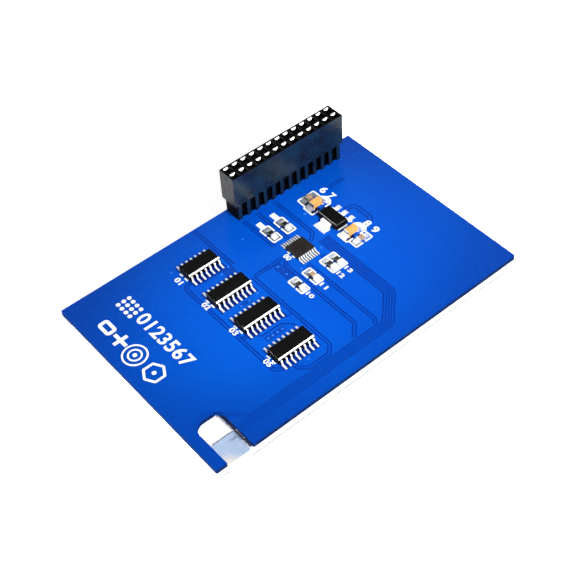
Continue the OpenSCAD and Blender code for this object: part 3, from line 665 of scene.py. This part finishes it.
class StripTool(NodeTool):
    """Lays one or more flat strips side by side along each path, with round bends."""

    title = "parallel_strips"
    wants = {
        "Width": "Float", "Thickness": "Float", "Strips": "Int", "Pitch": "Float", "Bend radius": "Float",
        "Material": "Material",
    }
    bend_points = 4

    def build(self) -> Socket:
        """Rounds the path, stands the row of flat sections across it and sweeps them along it."""
        given = self.given
        path = self.node("GeometryNodeMeshToCurve", {0: given["Geometry"]})
        bent = self.node("GeometryNodeFilletCurve", {
            "Curve": path, "Radius": given["Bend radius"], "Count": self.bend_points, "Limit Radius": True,
        }, mode="POLY")
        level = self.node("GeometryNodeSetCurveNormal", {"Curve": bent}, mode="Z_UP")
        flat = {"Width": given["Width"], "Height": given["Thickness"]}
        section = self.node("GeometryNodeCurvePrimitiveQuadrilateral", flat, mode="RECTANGLE")
        step = self.node("ShaderNodeCombineXYZ", {"X": given["Pitch"]})
        half = self.maths("MULTIPLY", self.maths("SUBTRACT", given["Strips"], 1.0), -0.5)
        first = self.node("ShaderNodeVectorMath", {0: step, "Scale": half}, operation="SCALE")
        line = {"Count": given["Strips"], "Start Location": first, "Offset": step}
        row = self.node("GeometryNodeMeshLine", line, mode="OFFSET")
        sections = self.node("GeometryNodeInstanceOnPoints", {"Points": row, "Instance": section})
        real = self.node("GeometryNodeRealizeInstances", {0: sections})
        swept = {"Curve": level, "Profile Curve": real, "Fill Caps": True}
        return self.node("GeometryNodeCurveToMesh", swept)


class SpotTool(NodeTool):
    """Sets a low round spot on each point."""

    title = "low_spots"
    wants = {"Radius": "Float", "Crown": "Float", "Thickness": "Float", "Material": "Material"}
    sides = 20

    def build(self) -> Socket:
        """Makes a flat-topped cone and repeats it."""
        given = self.given
        crown = self.maths("MULTIPLY", given["Radius"], given["Crown"])
        spot = self.node("GeometryNodeMeshCone", {
            "Vertices": self.sides, "Radius Top": crown, "Radius Bottom": given["Radius"],
            "Depth": given["Thickness"],
        })
        return self.node("GeometryNodeInstanceOnPoints", {"Points": given["Geometry"], "Instance": spot})


class Bench:
    """What every sub-assembly works with: the board's place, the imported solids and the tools."""

    # Edges that turn by more than sharp are rounded, and joints flatter than flush are dissolved.
    sharp = math.radians(40)
    flush = math.radians(1)
    # Metres within which two corners are one.
    weld = 1e-6
    round_steps = 2

    def __init__(self) -> None:
        """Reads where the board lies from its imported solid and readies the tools."""
        low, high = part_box("pcb")
        self.corner, self.top = low, high.z
        self.nodes: dict[str, bpy.types.Object] = frame["nodes"]
        self.strips, self.spots = StripTool(), SpotTool()

    def at(self, x: float, y: float, lift: float = 0.0) -> Vector:
        """Turns a place on the board into a place in the shared frame.

        Args:
            x: Millimetres from the board's end beside the notch.
            y: Millimetres from the board's notched edge.
            lift: Millimetres above the board's upper face.

        Returns:
            The place in metres in the shared frame.
        """
        return Vector((self.corner.x + x * MM, self.corner.y + y * MM, self.top + lift * MM))

    def wires(self, paths: Sequence[Path], lift: float) -> bpy.types.Mesh:
        """Makes a mesh of bare edges along paths, or of bare points where the paths are one point long."""
        points: list[Vector] = []
        edges: list[tuple[int, int]] = []
        for path in paths:
            start = len(points)
            points += [self.at(x, y, lift) for x, y in path]
            edges += [(start + i, start + i + 1) for i in range(len(path) - 1)]
            if path[0] == path[-1] and len(path) > 2:
                points.pop()
                edges[-1] = (edges[-1][0], start)
        mesh = bpy.data.meshes.new("paths")
        mesh.from_pydata(points, edges, [])
        return mesh

    def dress(self, finishes: dict[Stock, Sequence[str]]) -> None:
        """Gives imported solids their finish, and leaves their shapes alone."""
        for stock, names in finishes.items():
            for name in names:
                node = self.nodes[name]
                node.data.materials.clear()
                node.data.materials.append(stock.coat())
                log.info("solid %s: %s", name, stock.value.name)

    def adopt(self, piece: bpy.types.Object, slot: str, *replaced: str) -> None:
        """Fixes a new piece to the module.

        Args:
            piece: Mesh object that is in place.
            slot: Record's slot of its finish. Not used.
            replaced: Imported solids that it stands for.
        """
        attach(piece, ROOT)
        if replaced:
            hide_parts(*replaced)
        log.info("piece %s: %d faces", piece.name, len(piece.data.polygons))

    def lay(
        self, name: str, paths: Sequence[Path], stock: Stock, width: float, thickness: float, *,
        lift: float = 0.0, strips: int = 1, pitch: float = 0.0, bend: float = 0.0, slot: str = "board_blue",
    ) -> None:
        """Lays flat strips along paths on the board. Millimetres.

        Args:
            name: Name of the piece.
            paths: Points of each path.
            stock: Finish of the strips.
            width: Width of one strip.
            thickness: Thickness of one strip.
            lift: Height of its lower face above the board.
            strips: Number of strips side by side.
            pitch: Distance between two of them.
            bend: Radius of the bends.
            slot: Record's slot of the finish.
        """
        piece = self.strips.run(name, self.wires(paths, lift + thickness / 2), {
            "Width": width * MM, "Thickness": thickness * MM, "Strips": strips, "Pitch": pitch * MM,
            "Bend radius": bend * MM, "Material": stock.coat(),
        })
        self.adopt(piece, slot)

    def dot(
        self, name: str, points: Path, stock: Stock, radius: float, crown: float, thickness: float, *,
        lift: float = 0.0,
    ) -> None:
        """Sets round spots on points of the board. Crown is the share of the radius that is flat on top."""
        piece = self.spots.run(name, self.wires([[point] for point in points], lift), {
            "Radius": radius * MM, "Crown": crown, "Thickness": thickness * MM, "Material": stock.coat(),
        })
        self.adopt(piece, "board_blue")

    @staticmethod
    def solid(name: str, shape: bmesh.types.BMesh, stock: Stock) -> bpy.types.Mesh:
        """Turns an open shape into a mesh with outward faces and a finish, and frees it."""
        bmesh.ops.recalc_face_normals(shape, faces=shape.faces)
        mesh = bpy.data.meshes.new(name)
        shape.to_mesh(mesh)
        shape.free()
        mesh.materials.append(stock.coat())
        return mesh

    def soften(self, node: str, name: str, stock: Stock, slot: str, width: float) -> None:
        """Stands a copy with small round edges, as a mould or a kiln leaves them, for a solid.

        Args:
            node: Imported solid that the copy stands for.
            name: Name of the copy.
            stock: Finish of the copy.
            slot: Record's slot of the finish.
            width: Width of the rounding in millimetres.
        """
        shape = bmesh.new()
        shape.from_mesh(self.nodes[node].data)
        bmesh.ops.remove_doubles(shape, verts=shape.verts, dist=self.weld)
        bmesh.ops.dissolve_limit(
            shape, angle_limit=self.flush, verts=shape.verts, edges=shape.edges, use_dissolve_boundaries=False
        )
        piece = bring(name, self.solid(name, shape, stock))
        rounding = piece.modifiers.new("round_edges", "BEVEL")
        rounding.width = width * MM
        rounding.segments = self.round_steps
        rounding.limit_method = "ANGLE"
        rounding.angle_limit = self.sharp
        rounding.use_clamp_overlap = True
        rounding.harden_normals = True
        settle(piece)
        self.adopt(piece, slot, node)


# ---------------------------------------------------------------- sub-assemblies


@dataclass(frozen=True)
class CircuitBoard:
    """The blue board: mask, the gaps that part the copper, and the vias. Millimetres."""

    gap_width: float = 0.32
    gap_thickness: float = 0.014
    field_thickness: float = 0.009
    # Each layer of strips is this much thicker than the one before, so that crossing strips share no face.
    layer_step: float = 0.001
    bend: float = 0.9
    bundle_bend: float = 1.5
    via_radius: float = 0.34
    via_crown: float = 0.7
    via_height: float = 0.03
    # Tracks with a gap on either side.
    tracks: tuple[Path, ...] = (
        [(26.4, 43.1), (25.3, 43.1), (24.4, 42.2), (24.4, 11.9), (25.5, 10.8), (26.2, 10.8)],
        [(36.8, 55.8), (36.8, 41.0)],
        [(37.7, 34.9), (37.7, 9.0), (35.8, 7.1), (30.2, 7.1), (28.5, 8.8), (28.5, 10.2)],
        [(38.3, 34.95), (46.4, 34.95)],
        [(46.6, 33.9), (45.5, 32.8), (45.5, 9.7), (42.6, 6.8)],
        [(49.5, 29.6), (49.5, 7.6), (48.5, 6.6)],
        [(56.7, 50.2), (56.7, 36.5), (55.2, 35.0), (54.4, 35.0)],
        [(51.3, 50.2), (51.3, 38.7)],
        [(69.4, 45.2), (74.2, 45.2)],
        [(24.9, 22.55), (26.3, 22.55)],
        [(47.3, 50.2), (47.3, 39.0)],
        [(53.6, 29.8), (53.6, 28.9)],
    )
    # Single gaps.
    slits: tuple[Path, ...] = (
        [(27.5, 21.2), (28.5, 20.4), (33.5, 20.4), (35.5, 18.5), (35.8, 17.4)],
        [(34.1, 21.6), (37.2, 20.8)],
        [(26.2, 41.6), (30.0, 41.2), (36.2, 41.2)],
    )
    # The bundle of four tracks from the header to the notch, its end there, and the loops of two tracks.
    bundle: Path = ((57.25, 33.4), (57.25, 11.3), (50.85, 4.9), (13.2, 4.9))
    bundle_tail: Path = ((13.2, 4.58), (9.75, 4.58))
    notch_loop: Path = ((13.3, 6.2), (8.5, 11.0), (7.3, 12.2), (5.0, 12.2), (3.6, 10.9))
    regulator_loop: Path = ((67.2, 36.8), (69.1, 36.8), (69.85, 35.6), (69.85, 31.2), (69.0, 30.2))
    # Fields without copper, as strips with their width.
    fields: tuple[tuple[Path, float], ...] = (
        ([(43.9, 29.1), (43.9, 34.5)], 2.1),
        ([(28.3, 19.0), (33.6, 19.0)], 1.5),
        ([(33.4, 39.7), (36.4, 39.7)], 2.4),
        ([(29.7, 30.1), (33.4, 30.1)], 0.9),
    )
    # Dark laminate round the front pads of each logic chip, darkened further as painted shade.
    clearances: tuple[Path, ...] = (
        [(26.3, 42.8), (35.3, 42.8)], [(25.9, 32.4), (36.1, 32.4)],
        [(25.9, 22.6), (36.1, 22.6)], [(25.9, 11.15), (36.1, 11.15)],
    )
    clearance_width: float = 2.6
    # Painted shade round the two rows of the touch controller, whose leads stand closer.
    fine_pad_shade_paths: tuple[Path, ...] = ([(48.55, 31.2), (53.65, 31.2)], [(48.55, 37.3), (53.65, 37.3)])
    fine_width: float = 1.9
    # Sheets of painted shade in the bays inside the printed outlines: x, first y, last y and width.
    shade_bays: tuple[tuple[float, float, float, float], ...] = (
        (43.75, 24.0, 28.25, 1.8), (47.8, 24.0, 28.25, 1.8), (52.93, 24.0, 28.25, 1.65),
        (55.08, 24.0, 28.25, 1.65), (49.3, 40.25, 44.85, 2.0), (53.45, 40.25, 44.85, 2.0),
        (61.9, 41.05, 43.65, 2.5), (61.9, 28.95, 31.65, 2.5), (62.1, 44.2, 46.4, 1.8),
        (62.1, 26.4, 28.4, 1.8),
    )
    vias: Path = (
        (29.0, 19.0), (30.3, 19.0), (31.6, 19.0), (32.9, 19.0), (30.4, 30.1), (32.8, 30.1), (35.5, 30.5),
        (33.1, 40.4), (35.6, 41.2), (24.9, 48.6), (36.7, 36.7), (31.7, 9.0), (43.9, 33.6), (43.9, 30.6),
        (47.4, 29.6), (55.0, 31.5), (43.4, 45.8), (59.4, 42.3),
    )

    def gaps(self) -> list[tuple[str, Sequence[Path], int, float, float]]:
        """Gives the gaps between copper areas: name, paths, how many side by side, their pitch and bend."""
        return [
            ("gaps_of_tracks", self.tracks, 2, 0.7, self.bend),
            ("slits", self.slits, 1, 0.0, self.bend),
            ("gaps_of_bundle", [self.bundle], 5, 0.63, self.bundle_bend),
            ("gaps_beside_notch", [self.bundle_tail], 4, 0.63, self.bend),
            ("gaps_round_notch", [self.notch_loop], 2, 0.58, self.bend),
            ("gaps_by_regulator", [self.regulator_loop], 2, 0.95, self.bend),
        ]

    def build(self, bench: Bench) -> None:
        """Dresses the board, lays its copper pattern and vias, and lays dark laminate and painted shade round
        pads and in the bays.
        """
        bench.dress({Stock.BOARD: ("pcb",)})
        for step, (name, paths, strips, pitch, bend) in enumerate(self.gaps()):
            high = self.gap_thickness + step * self.layer_step
            bench.lay(
                "copper_" + name, paths, Stock.BARE_LAMINATE, self.gap_width, high,
                strips=strips, pitch=pitch, bend=bend,
            )
        high = self.field_thickness
        for number, (path, width) in enumerate(self.fields):
            bench.lay(f"bare_field_{number}", [path], Stock.BARE_FIELD, width, high)
        high += self.layer_step
        bench.lay("pad_clearances", self.clearances, Stock.PAD_CLEARANCE_AND_SHADE, self.clearance_width, high)
        # Painted shade round the controller's pads.
        bench.lay("fine_pad_shade", self.fine_pad_shade_paths, Stock.SHADE_BAY, self.fine_width, high)
        high += self.layer_step
        for number, (x, first, last, width) in enumerate(self.shade_bays):
            bench.lay(f"shade_bay_{number}", [[(x, first), (x, last)]], Stock.SHADE_BAY, width, high)
        bench.dot("via_caps", self.vias, Stock.VIA_CAP, self.via_radius, self.via_crown, self.via_height)


def polygon(middle: Pair, radius: float, sides: int) -> Path:
    """Gives the closed outline of a regular polygon."""
    turns = [math.tau * i / sides for i in (*range(sides), 0)]
    return [(middle[0] + radius * math.cos(turn), middle[1] + radius * math.sin(turn)) for turn in turns]


@dataclass(frozen=True)
class ScreenPrint:
    """White print: outlines round the small parts, tick marks, plain digits and plain marks. Millimetres."""

    line: float = 0.42
    thin_line: float = 0.4
    thickness: float = 0.02
    lift: float = 0.012
    corner: float = 0.26
    block_corner: float = 0.1
    # Print that starts from other print lies this much higher, and so do filled areas.
    second_lift: float = 0.004
    block_lift: float = 0.008
    digit_lift: float = 0.02
    digit_spacing: float = 1.06
    digit_steps: int = 4
    digit_half_depth: float = 0.5
    # The marks near the board's end: rings and a hexagon, each round a dot, beside a grid of dots.
    ring_middle: Pair = (5.0, 34.65)
    ring_radii: Pair = (2.75, 1.5)
    hexagon_middle: Pair = (5.25, 28.0)
    hexagon_radius: float = 2.5
    grid_corner: Pair = (10.5, 44.3)
    grid_pitch: float = 1.5
    dot_radius: float = 0.54
    dot_crown: float = 0.96

    @staticmethod
    def brackets(x0: float, x1: float, y0: float, y1: float, gap: float = 0.5) -> list[Path]:
        """Gives the two halves of an outline that is open in the middle of its long sides."""
        middle = (y0 + y1) / 2
        return [
            [(x0, middle - gap / 2), (x0, y0), (x1, y0), (x1, middle - gap / 2)],
            [(x0, middle + gap / 2), (x0, y1), (x1, y1), (x1, middle + gap / 2)],
        ]

    def outlines(self) -> list[Path]:
        """Gives every outline round the small parts."""
        singles = ((42.6, 44.9, 23.75, 28.5), (46.65, 48.95, 23.75, 28.5), (48.05, 50.55, 40.0, 45.1),
                   (52.2, 54.7, 40.0, 45.1))
        return [path for single in singles for path in self.brackets(*single)] + [
            # Round the pair of resistors, and round the two large capacitors, with a chamfer at the right.
            [(51.85, 25.9), (51.85, 23.75), (56.15, 23.75), (56.15, 25.9)],
            [(51.85, 26.4), (51.85, 28.5), (56.15, 28.5), (56.15, 26.4)],
            [(62.2, 40.8), (60.4, 40.8), (60.4, 43.9), (66.3, 43.9), (66.85, 43.2), (66.85, 41.7),
             (66.0, 40.8), (64.4, 40.8)],
            [(62.2, 28.7), (60.4, 28.7), (60.4, 31.9), (66.2, 31.9), (66.85, 31.2), (66.85, 29.4),
             (66.2, 28.7), (64.4, 28.7)],
        ]

    def second_outlines(self) -> list[Path]:
        """Gives the lines that start from another line."""
        return [
            [(54.0, 23.75), (54.0, 25.9)],
            [(54.0, 28.5), (54.0, 26.4)],
            # Round the small capacitors beside the large ones.
            [(60.95, 43.9), (60.95, 46.7), (63.0, 46.7)],
            [(63.7, 46.7), (65.9, 46.7), (65.9, 43.9)],
            [(60.95, 28.7), (60.95, 26.1), (63.0, 26.1)],
            [(63.7, 26.1), (65.9, 26.1), (65.9, 28.7)],
            # Under the regulator, and the two strokes of its plus sign.
            [(61.2, 33.7), (61.7, 32.9), (64.1, 32.9), (64.4, 33.7)],
            [(65.1, 33.4), (65.47, 33.4)],
            [(65.93, 33.4), (66.3, 33.4)],
            [(65.7, 32.8), (65.7, 34.0)],
        ]

    @staticmethod
    def ticks() -> list[Path]:
        """Gives the pairs of ticks at the ends of the chips."""
        spans = [(26.2, 44.0, 45.1), (26.2, 45.9, 47.0), (48.5, 33.1, 34.0), (48.5, 34.8, 35.7)]
        for low in (33.7, 23.8, 12.6):
            spans += [(25.75, low, low + 1.2), (25.75, low + 1.85, low + 3.0)]
        return [[(x, y0), (x, y1)] for x, y0, y1 in spans]

    def strokes(self) -> list[tuple[str, Sequence[Path], float, float, float]]:
        """Gives all print made of lines: name, paths, line width, corner radius and extra lift."""
        frame_mark = [(3.95, 43.3), (5.95, 43.3), (5.95, 46.7), (3.95, 46.7), (3.95, 43.3)]
        cross = [[(5.05, 37.95), (5.05, 42.25)], [(3.2, 40.1), (4.6, 40.1)], [(5.5, 40.1), (6.9, 40.1)]]
        rings = [polygon(self.ring_middle, radius, 48) for radius in self.ring_radii]
        hexagon = polygon(self.hexagon_middle, self.hexagon_radius, 6)
        # Filled ends inside the outlines of the two large capacitors.
        ends = [[(66.0, 41.2), (66.0, 43.6)], [(66.0, 29.1), (66.0, 31.6)]]
        # Two printed blocks above the upper pair of parts.
        blocks = [[(49.25, 45.3), (49.25, 47.3)], [(53.55, 45.3), (53.55, 47.5)]]
        return [
            ("outlines", self.outlines(), self.line, self.corner, 0.0),
            ("second_outlines", self.second_outlines(), self.line, self.corner, self.second_lift),
            ("ticks", self.ticks(), self.thin_line, self.corner, 0.0),
            ("mark_frame", [frame_mark], 0.85, 0.45, 0.0),
            ("mark_cross", cross, 0.9, self.block_corner, 0.0),
            ("mark_rings", rings, 0.42, 0.5, 0.0),
            ("mark_hexagon", [hexagon], 0.6, 0.32, 0.0),
            ("filled_ends", ends, 1.1, self.block_corner, self.block_lift),
            ("blocks", blocks, 1.45, self.block_corner, self.block_lift),
        ]

    def dots(self) -> list[Pair]:
        """Gives the grid of dots and the dot in each of the two round marks."""
        x, y = self.grid_corner
        grid = [(x + self.grid_pitch * i, y + self.grid_pitch * j) for i in range(3) for j in range(4)]
        return [*grid, self.ring_middle, self.hexagon_middle]

    @staticmethod
    def digits() -> list[tuple[str, float, float, float, float, float]]:
        """Gives each number: digits, near x, far x, upper y, lower y and how bold it is.

        No number has a four, because the small eye of that digit folds over where the stroke is bold.
        """
        large, small = 0.022, 0.036
        by_chips = (("01", 46.4, 44.3), ("02", 36.4, 34.2), ("03", 26.6, 24.4), ("05", 15.0, 12.8))
        by_small_parts = (("10", 43.1, 44.3), ("11", 47.1, 48.3), ("12", 52.1, 53.3), ("13", 54.5, 55.7))
        by_capacitors = (("6", 46.1, 44.5), ("7", 43.3, 41.7), ("8", 30.8, 29.2), ("9", 28.1, 26.4))
        return [
            ("0123567", 10.6, 14.2, 42.8, 24.7, large),
            *((text, 23.95, 25.4, top, low, small) for text, top, low in by_chips),
            ("00", 46.65, 48.1, 35.35, 33.4, small),
            *((text, near, far, 23.2, 21.2, small) for text, near, far in by_small_parts),
            *((text, 66.9, 69.0, top, low, small) for text, top, low in by_capacitors),
        ]

    def number(
        self, bench: Bench, text: str, near: float, far: float, top: float, low: float, bold: float
    ) -> bpy.types.Mesh:
        """Makes one number as a thin mesh, read from the board's side.

        Args:
            bench: What knows where the board lies.
            text: The digits.
            near: Board x of the digits' heads.
            far: Board x of their feet.
            top: Board y where the number starts.
            low: Board y where it ends.
            bold: How much the strokes are widened, as a share of the digits' height.

        Returns:
            The mesh in the shared frame.
        """
        curve = bpy.data.curves.new("number", "FONT")
        curve.body = text
        curve.offset = bold
        curve.extrude = self.digit_half_depth
        curve.resolution_u = self.digit_steps
        curve.space_character = self.digit_spacing
        shape = bring("number", curve)
        mesh = outcome(shape)
        bpy.data.objects.remove(shape)
        xs, ys = [v.co.x for v in mesh.vertices], [v.co.y for v in mesh.vertices]
        start = bench.at(near, top, self.digit_lift)
        across, along = (far - near) * MM / (max(ys) - min(ys)), (top - low) * MM / (max(xs) - min(xs))
        for vertex in mesh.vertices:
            x, y, z = vertex.co
            vertex.co = (
                start.x + (y - min(ys)) * across,
                start.y - (x - min(xs)) * along,
                start.z + (z + self.digit_half_depth) * self.thickness * MM,
            )
        return mesh

    def build(self, bench: Bench) -> None:
        """Prints everything."""
        for name, paths, width, corner, higher in self.strokes():
            lift = self.lift + higher
            bench.lay("print_" + name, paths, Stock.PRINT, width, self.thickness, lift=lift, bend=corner)
        spot = (self.dot_radius, self.dot_crown, self.thickness)
        bench.dot("print_dots", self.dots(), Stock.PRINT, *spot, lift=self.lift)
        whole = bmesh.new()
        for row in self.digits():
            whole.from_mesh(self.number(bench, *row))
        bench.adopt(bring("print_digits", bench.solid("print_digits", whole, Stock.PRINT)), "board_blue")


@dataclass(frozen=True)
class Header:
    """Socket header on its spacer: moulded parts, spring contacts and their solder. Millimetres."""

    housing_edge: float = 0.1
    spacer_edge: float = 0.06

    def build(self, bench: Bench) -> None:
        """Softens the two mouldings and dresses the metal."""
        bench.soften("header_housing", "housing_moulding", Stock.HEADER, "header_black", self.housing_edge)
        bench.soften("header_spacer", "spacer_moulding", Stock.HEADER, "header_black", self.spacer_edge)
        bench.dress({
            Stock.CONTACT: ("header_front_contacts", "header_back_contacts"),
            Stock.SOLDER: ("header_solder",),
        })


@dataclass(frozen=True)
class Chips:
    """The four logic chips, the touch controller and the regulator. Millimetres."""

    logic: tuple[str, ...] = ("inverter", "counter", "shift_register_a", "shift_register_b")
    edge: float = 0.05

    def build(self, bench: Bench) -> None:
        """Softens each moulded body and dresses leads and solder."""
        for chip in self.logic:
            bench.soften(f"{chip}_body", f"{chip}_moulding", Stock.CHIP, "chip_black", self.edge)
        bench.soften(
            "touch_controller_body", "touch_controller_moulding", Stock.CONTROLLER, "controller_black",
            self.edge,
        )
        bench.soften("regulator_body", "regulator_moulding", Stock.CHIP, "chip_black", self.edge)
        leads = [f"{chip}_leads" for chip in (*self.logic, "touch_controller", "regulator")]
        bench.dress({
            Stock.LEAD: (*leads, "regulator_tab"),
            Stock.SOLDER: ("logic_solder", "touch_controller_solder", "regulator_solder"),
        })


@dataclass(frozen=True)
class SmallParts:
    """Capacitors and resistors. Millimetres."""

    kiln_edge: float = 0.06
    band_edge: float = 0.05

    def build(self, bench: Bench) -> None:
        """Softens the fired bodies and their bands and dresses the rest."""
        for part in ("input_capacitor", "output_capacitor"):
            bench.soften(f"{part}_body", f"{part}_ceramic", Stock.CAPACITOR, "capacitor_tan", self.kiln_edge)
            bench.soften(f"{part}_ends", f"{part}_bands", Stock.END_BAND, "end_metal", self.band_edge)
        bench.soften(
            "small_capacitor_bodies", "small_capacitor_ceramic", Stock.SMALL_CAPACITOR, "capacitor_buff",
            self.kiln_edge,
        )
        bench.dress({
            Stock.END_BAND: ("small_capacitor_ends", "resistor_ends"),
            Stock.ALUMINA: ("resistor_bodies",),
            Stock.GLAZE: ("resistor_glaze",),
            Stock.SOLDER: ("power_capacitor_solder", "small_part_solder"),
        })


class DisplayStack:
    """Backlight, display glass and its flex, under the board."""

    def build(self, bench: Bench) -> None:
        """Dresses every layer."""
        bench.dress({
            Stock.FOAM: ("foam_tape",),
            Stock.REFLECTOR: ("reflector",),
            Stock.FRAME: ("backlight_frame",),
            Stock.GUIDE: ("light_guide",),
            Stock.LAMP: ("backlight_lamps",),
            Stock.FLEX: ("lamp_strip", "display_flex"),
            Stock.OPTICAL_FILM: ("diffuser", "prism_sheet"),
            Stock.POLARISER: ("rear_polariser", "front_polariser"),
            Stock.DISPLAY_GLASS: ("rear_glass", "front_glass"),
            Stock.SILICON: ("display_driver",),
            Stock.SOLDER: ("display_flex_solder",),
        })


@dataclass(frozen=True)
class TouchPanel:
    """Film, glass and gasket of the touch panel, and the tail that comes up in the notch. Millimetres."""

    tracks: tuple[Path, ...] = ([(3.5, 6.02), (8.7, 6.02)], [(7.3, 4.3), (9.1, 4.3)])
    track_width: float = 0.16
    track_thickness: float = 0.012

    def build(self, bench: Bench) -> None:
        """Dresses every layer and prints the tracks that show on the tail."""
        bench.dress({
            Stock.GASKET: ("touch_gasket",),
            Stock.TOUCH_GLASS: ("touch_glass",),
            Stock.BOND: ("touch_bond",),
            Stock.TOUCH_FILM: ("touch_film",),
            Stock.TAIL: ("touch_tail",),
            Stock.SOLDER: ("touch_tail_solder",),
        })
        tail_top = (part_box("touch_tail")[1].z - bench.top) / MM
        bench.lay(
            "tail_tracks", self.tracks, Stock.TRACK, self.track_width, self.track_thickness,
            lift=tail_top, slot="tail_film",
        )


# ---------------------------------------------------------------- studio


@dataclass(frozen=True)
class Softbox:
    """A lamp behind a rectangle of cloth. Metres and watts."""

    name: str
    towards: Triple
    distance: float
    size: Pair
    power: float
    target: Triple = (0.0, 0.0, 0.0035)
    gloss_only: bool = False

    def hang(self) -> None:
        """Hangs the lamp and aims it at its target."""
        lamp = bpy.data.lights.new(self.name, "AREA")
        lamp.shape = "RECTANGLE"
        lamp.size, lamp.size_y = self.size
        lamp.energy = self.power
        holder = bring(self.name, lamp)
        away = Vector(self.towards).normalized()
        holder.location = Vector(self.target) + away * self.distance
        holder.rotation_mode = "QUATERNION"
        holder.rotation_quaternion = away.to_track_quat("Z", "Y")
        holder.visible_camera = False
        holder.visible_glossy = self.gloss_only
        holder.visible_diffuse = not self.gloss_only


@dataclass(frozen=True)
class Studio:
    """A plain white table, one key lamp in front, cards that only gloss shows, a soft fill and the camera."""

    # Millimetres.
    camera_place: Triple = (-108.62, -142.29, 204.87)
    camera_right: Triple = (0.763, -0.645, -0.047)
    camera_up: Triple = (0.506, 0.550, 0.665)
    lens: float = 75.07
    sensor: float = 36.0
    # Metres.
    clip: Pair = (0.01, 10.0)
    table_size: float = 3.0
    paper: tuple[str, str] = ("#F4F4F4", "#EFEFEF")
    # How much light the table adds where the camera sees it and where gloss mirrors it.
    glow: float = 0.86
    gloss_glow: float = 0.4
    # The room as matt surfaces find it, and the bright part that glossy surfaces find.
    fill: float = 0.07
    bright_way: Triple = (0.45, 0.25, 0.86)
    bright_span: Pair = (0.45, 0.8)
    bright_levels: Pair = (0.04, 1.05)
    lamps: tuple[Softbox, ...] = (
        Softbox("key_softbox", (0.06, -0.72, 0.69), 0.6, (0.15, 0.15), 6.2),
        Softbox("bright_card", (0.403, -0.745, 0.531), 0.6, (0.17, 0.17), 4.0, gloss_only=True),
        Softbox("side_card", (-0.73, 0.53, 0.377), 0.6, (0.24, 0.24), 13.0, gloss_only=True),
        Softbox("top_softbox", (0.1, -0.3, 1.0), 0.3, (0.2, 0.2), 0.12),
        Softbox("low_strip_light", (-1.0, 0.0, 0.0), 0.057, (0.075, 0.002), 0.014, target=(0.0, 0.0, 0.0012)),
    )

    def table(self) -> None:
        """Lays the table: matt white, brighter only where the camera looks at it, so that shadows stay."""
        half = self.table_size / 2
        mesh = bpy.data.meshes.new("table")
        corner_points = [(-half, -half, 0), (half, -half, 0), (half, half, 0), (-half, half, 0)]
        mesh.from_pydata(corner_points, [], [(0, 1, 2, 3)])
        top = bpy.data.materials.new("white_table")
        top.use_nodes = True
        graph = Graph(top.node_tree)
        place = graph.node("ShaderNodeTexCoord", out="Object")
        haze = graph.node("ShaderNodeTexNoise", {"Vector": place, "Scale": 9.0})
        paper = graph.node("ShaderNodeBsdfPrincipled", {
            "Base Color": graph.blend(haze, *self.paper), "Roughness": 0.9, "Specular IOR Level": 0.0,
        })
        seen = add(graph.tree, "ShaderNodeLightPath").outputs
        by_eye = graph.maths("MULTIPLY", seen["Is Camera Ray"], self.glow)
        strength = graph.maths("MULTIPLY_ADD", seen["Is Glossy Ray"], self.gloss_glow, by_eye)
        glow = graph.node("ShaderNodeEmission", {"Color": WHITE, "Strength": strength})
        both = graph.node("ShaderNodeAddShader", {0: paper, 1: glow})
        add(graph.tree, "ShaderNodeOutputMaterial", {"Surface": both})
        mesh.materials.append(top)
        bring("table", mesh)

    def room(self) -> None:
        """Sets the room: white behind, bright on one side for gloss and dim for all else."""
        world = bpy.data.worlds.new("room")
        bpy.context.scene.world = world
        world.use_nodes = True
        graph = Graph(world.node_tree)
        way = graph.node("ShaderNodeTexCoord", out="Generated")
        towards = graph.vector("DOT_PRODUCT", way, self.bright_way, out="Value")
        band = graph.ramp(towards, *self.bright_span, *self.bright_levels)
        path = add(graph.tree, "ShaderNodeLightPath").outputs
        shiny = graph.maths("MAXIMUM", path["Is Glossy Ray"], path["Is Transmission Ray"])
        level = graph.mix(path["Is Camera Ray"], graph.mix(shiny, self.fill, band), 1.0)
        sky = graph.node("ShaderNodeBackground", {"Color": WHITE, "Strength": level})
        add(graph.tree, "ShaderNodeOutputWorld", {"Surface": sky})

    def camera(self) -> None:
        """Sets the camera above the corner beside the notch, looking along the board."""
        lens = bpy.data.cameras.new("camera")
        lens.lens = self.lens
        lens.sensor_width = self.sensor
        lens.clip_start, lens.clip_end = self.clip
        holder = bring("camera", lens)
        right, up = Vector(self.camera_right).normalized(), Vector(self.camera_up).normalized()
        back = right.cross(up).normalized()
        turn = Matrix((right, back.cross(right), back)).transposed().to_4x4()
        holder.matrix_world = Matrix.Translation(Vector(self.camera_place) * MM) @ turn
        bpy.context.scene.camera = holder

    def build(self) -> None:
        """Sets up everything round the module."""
        bpy.context.scene.view_settings.view_transform = "Standard"
        self.table()
        self.room()
        for lamp in self.lamps:
            lamp.hang()
        self.camera()


def main() -> None:
    """Builds the studio and every sub-assembly in order."""
    logging.basicConfig(level=logging.INFO, format="%(message)s")
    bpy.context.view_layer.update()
    Studio().build()
    bench = Bench()
    for group in (CircuitBoard, ScreenPrint, Header, Chips, SmallParts, DisplayStack, TouchPanel):
        group().build(bench)


if __name__ == "__main__":
    main()
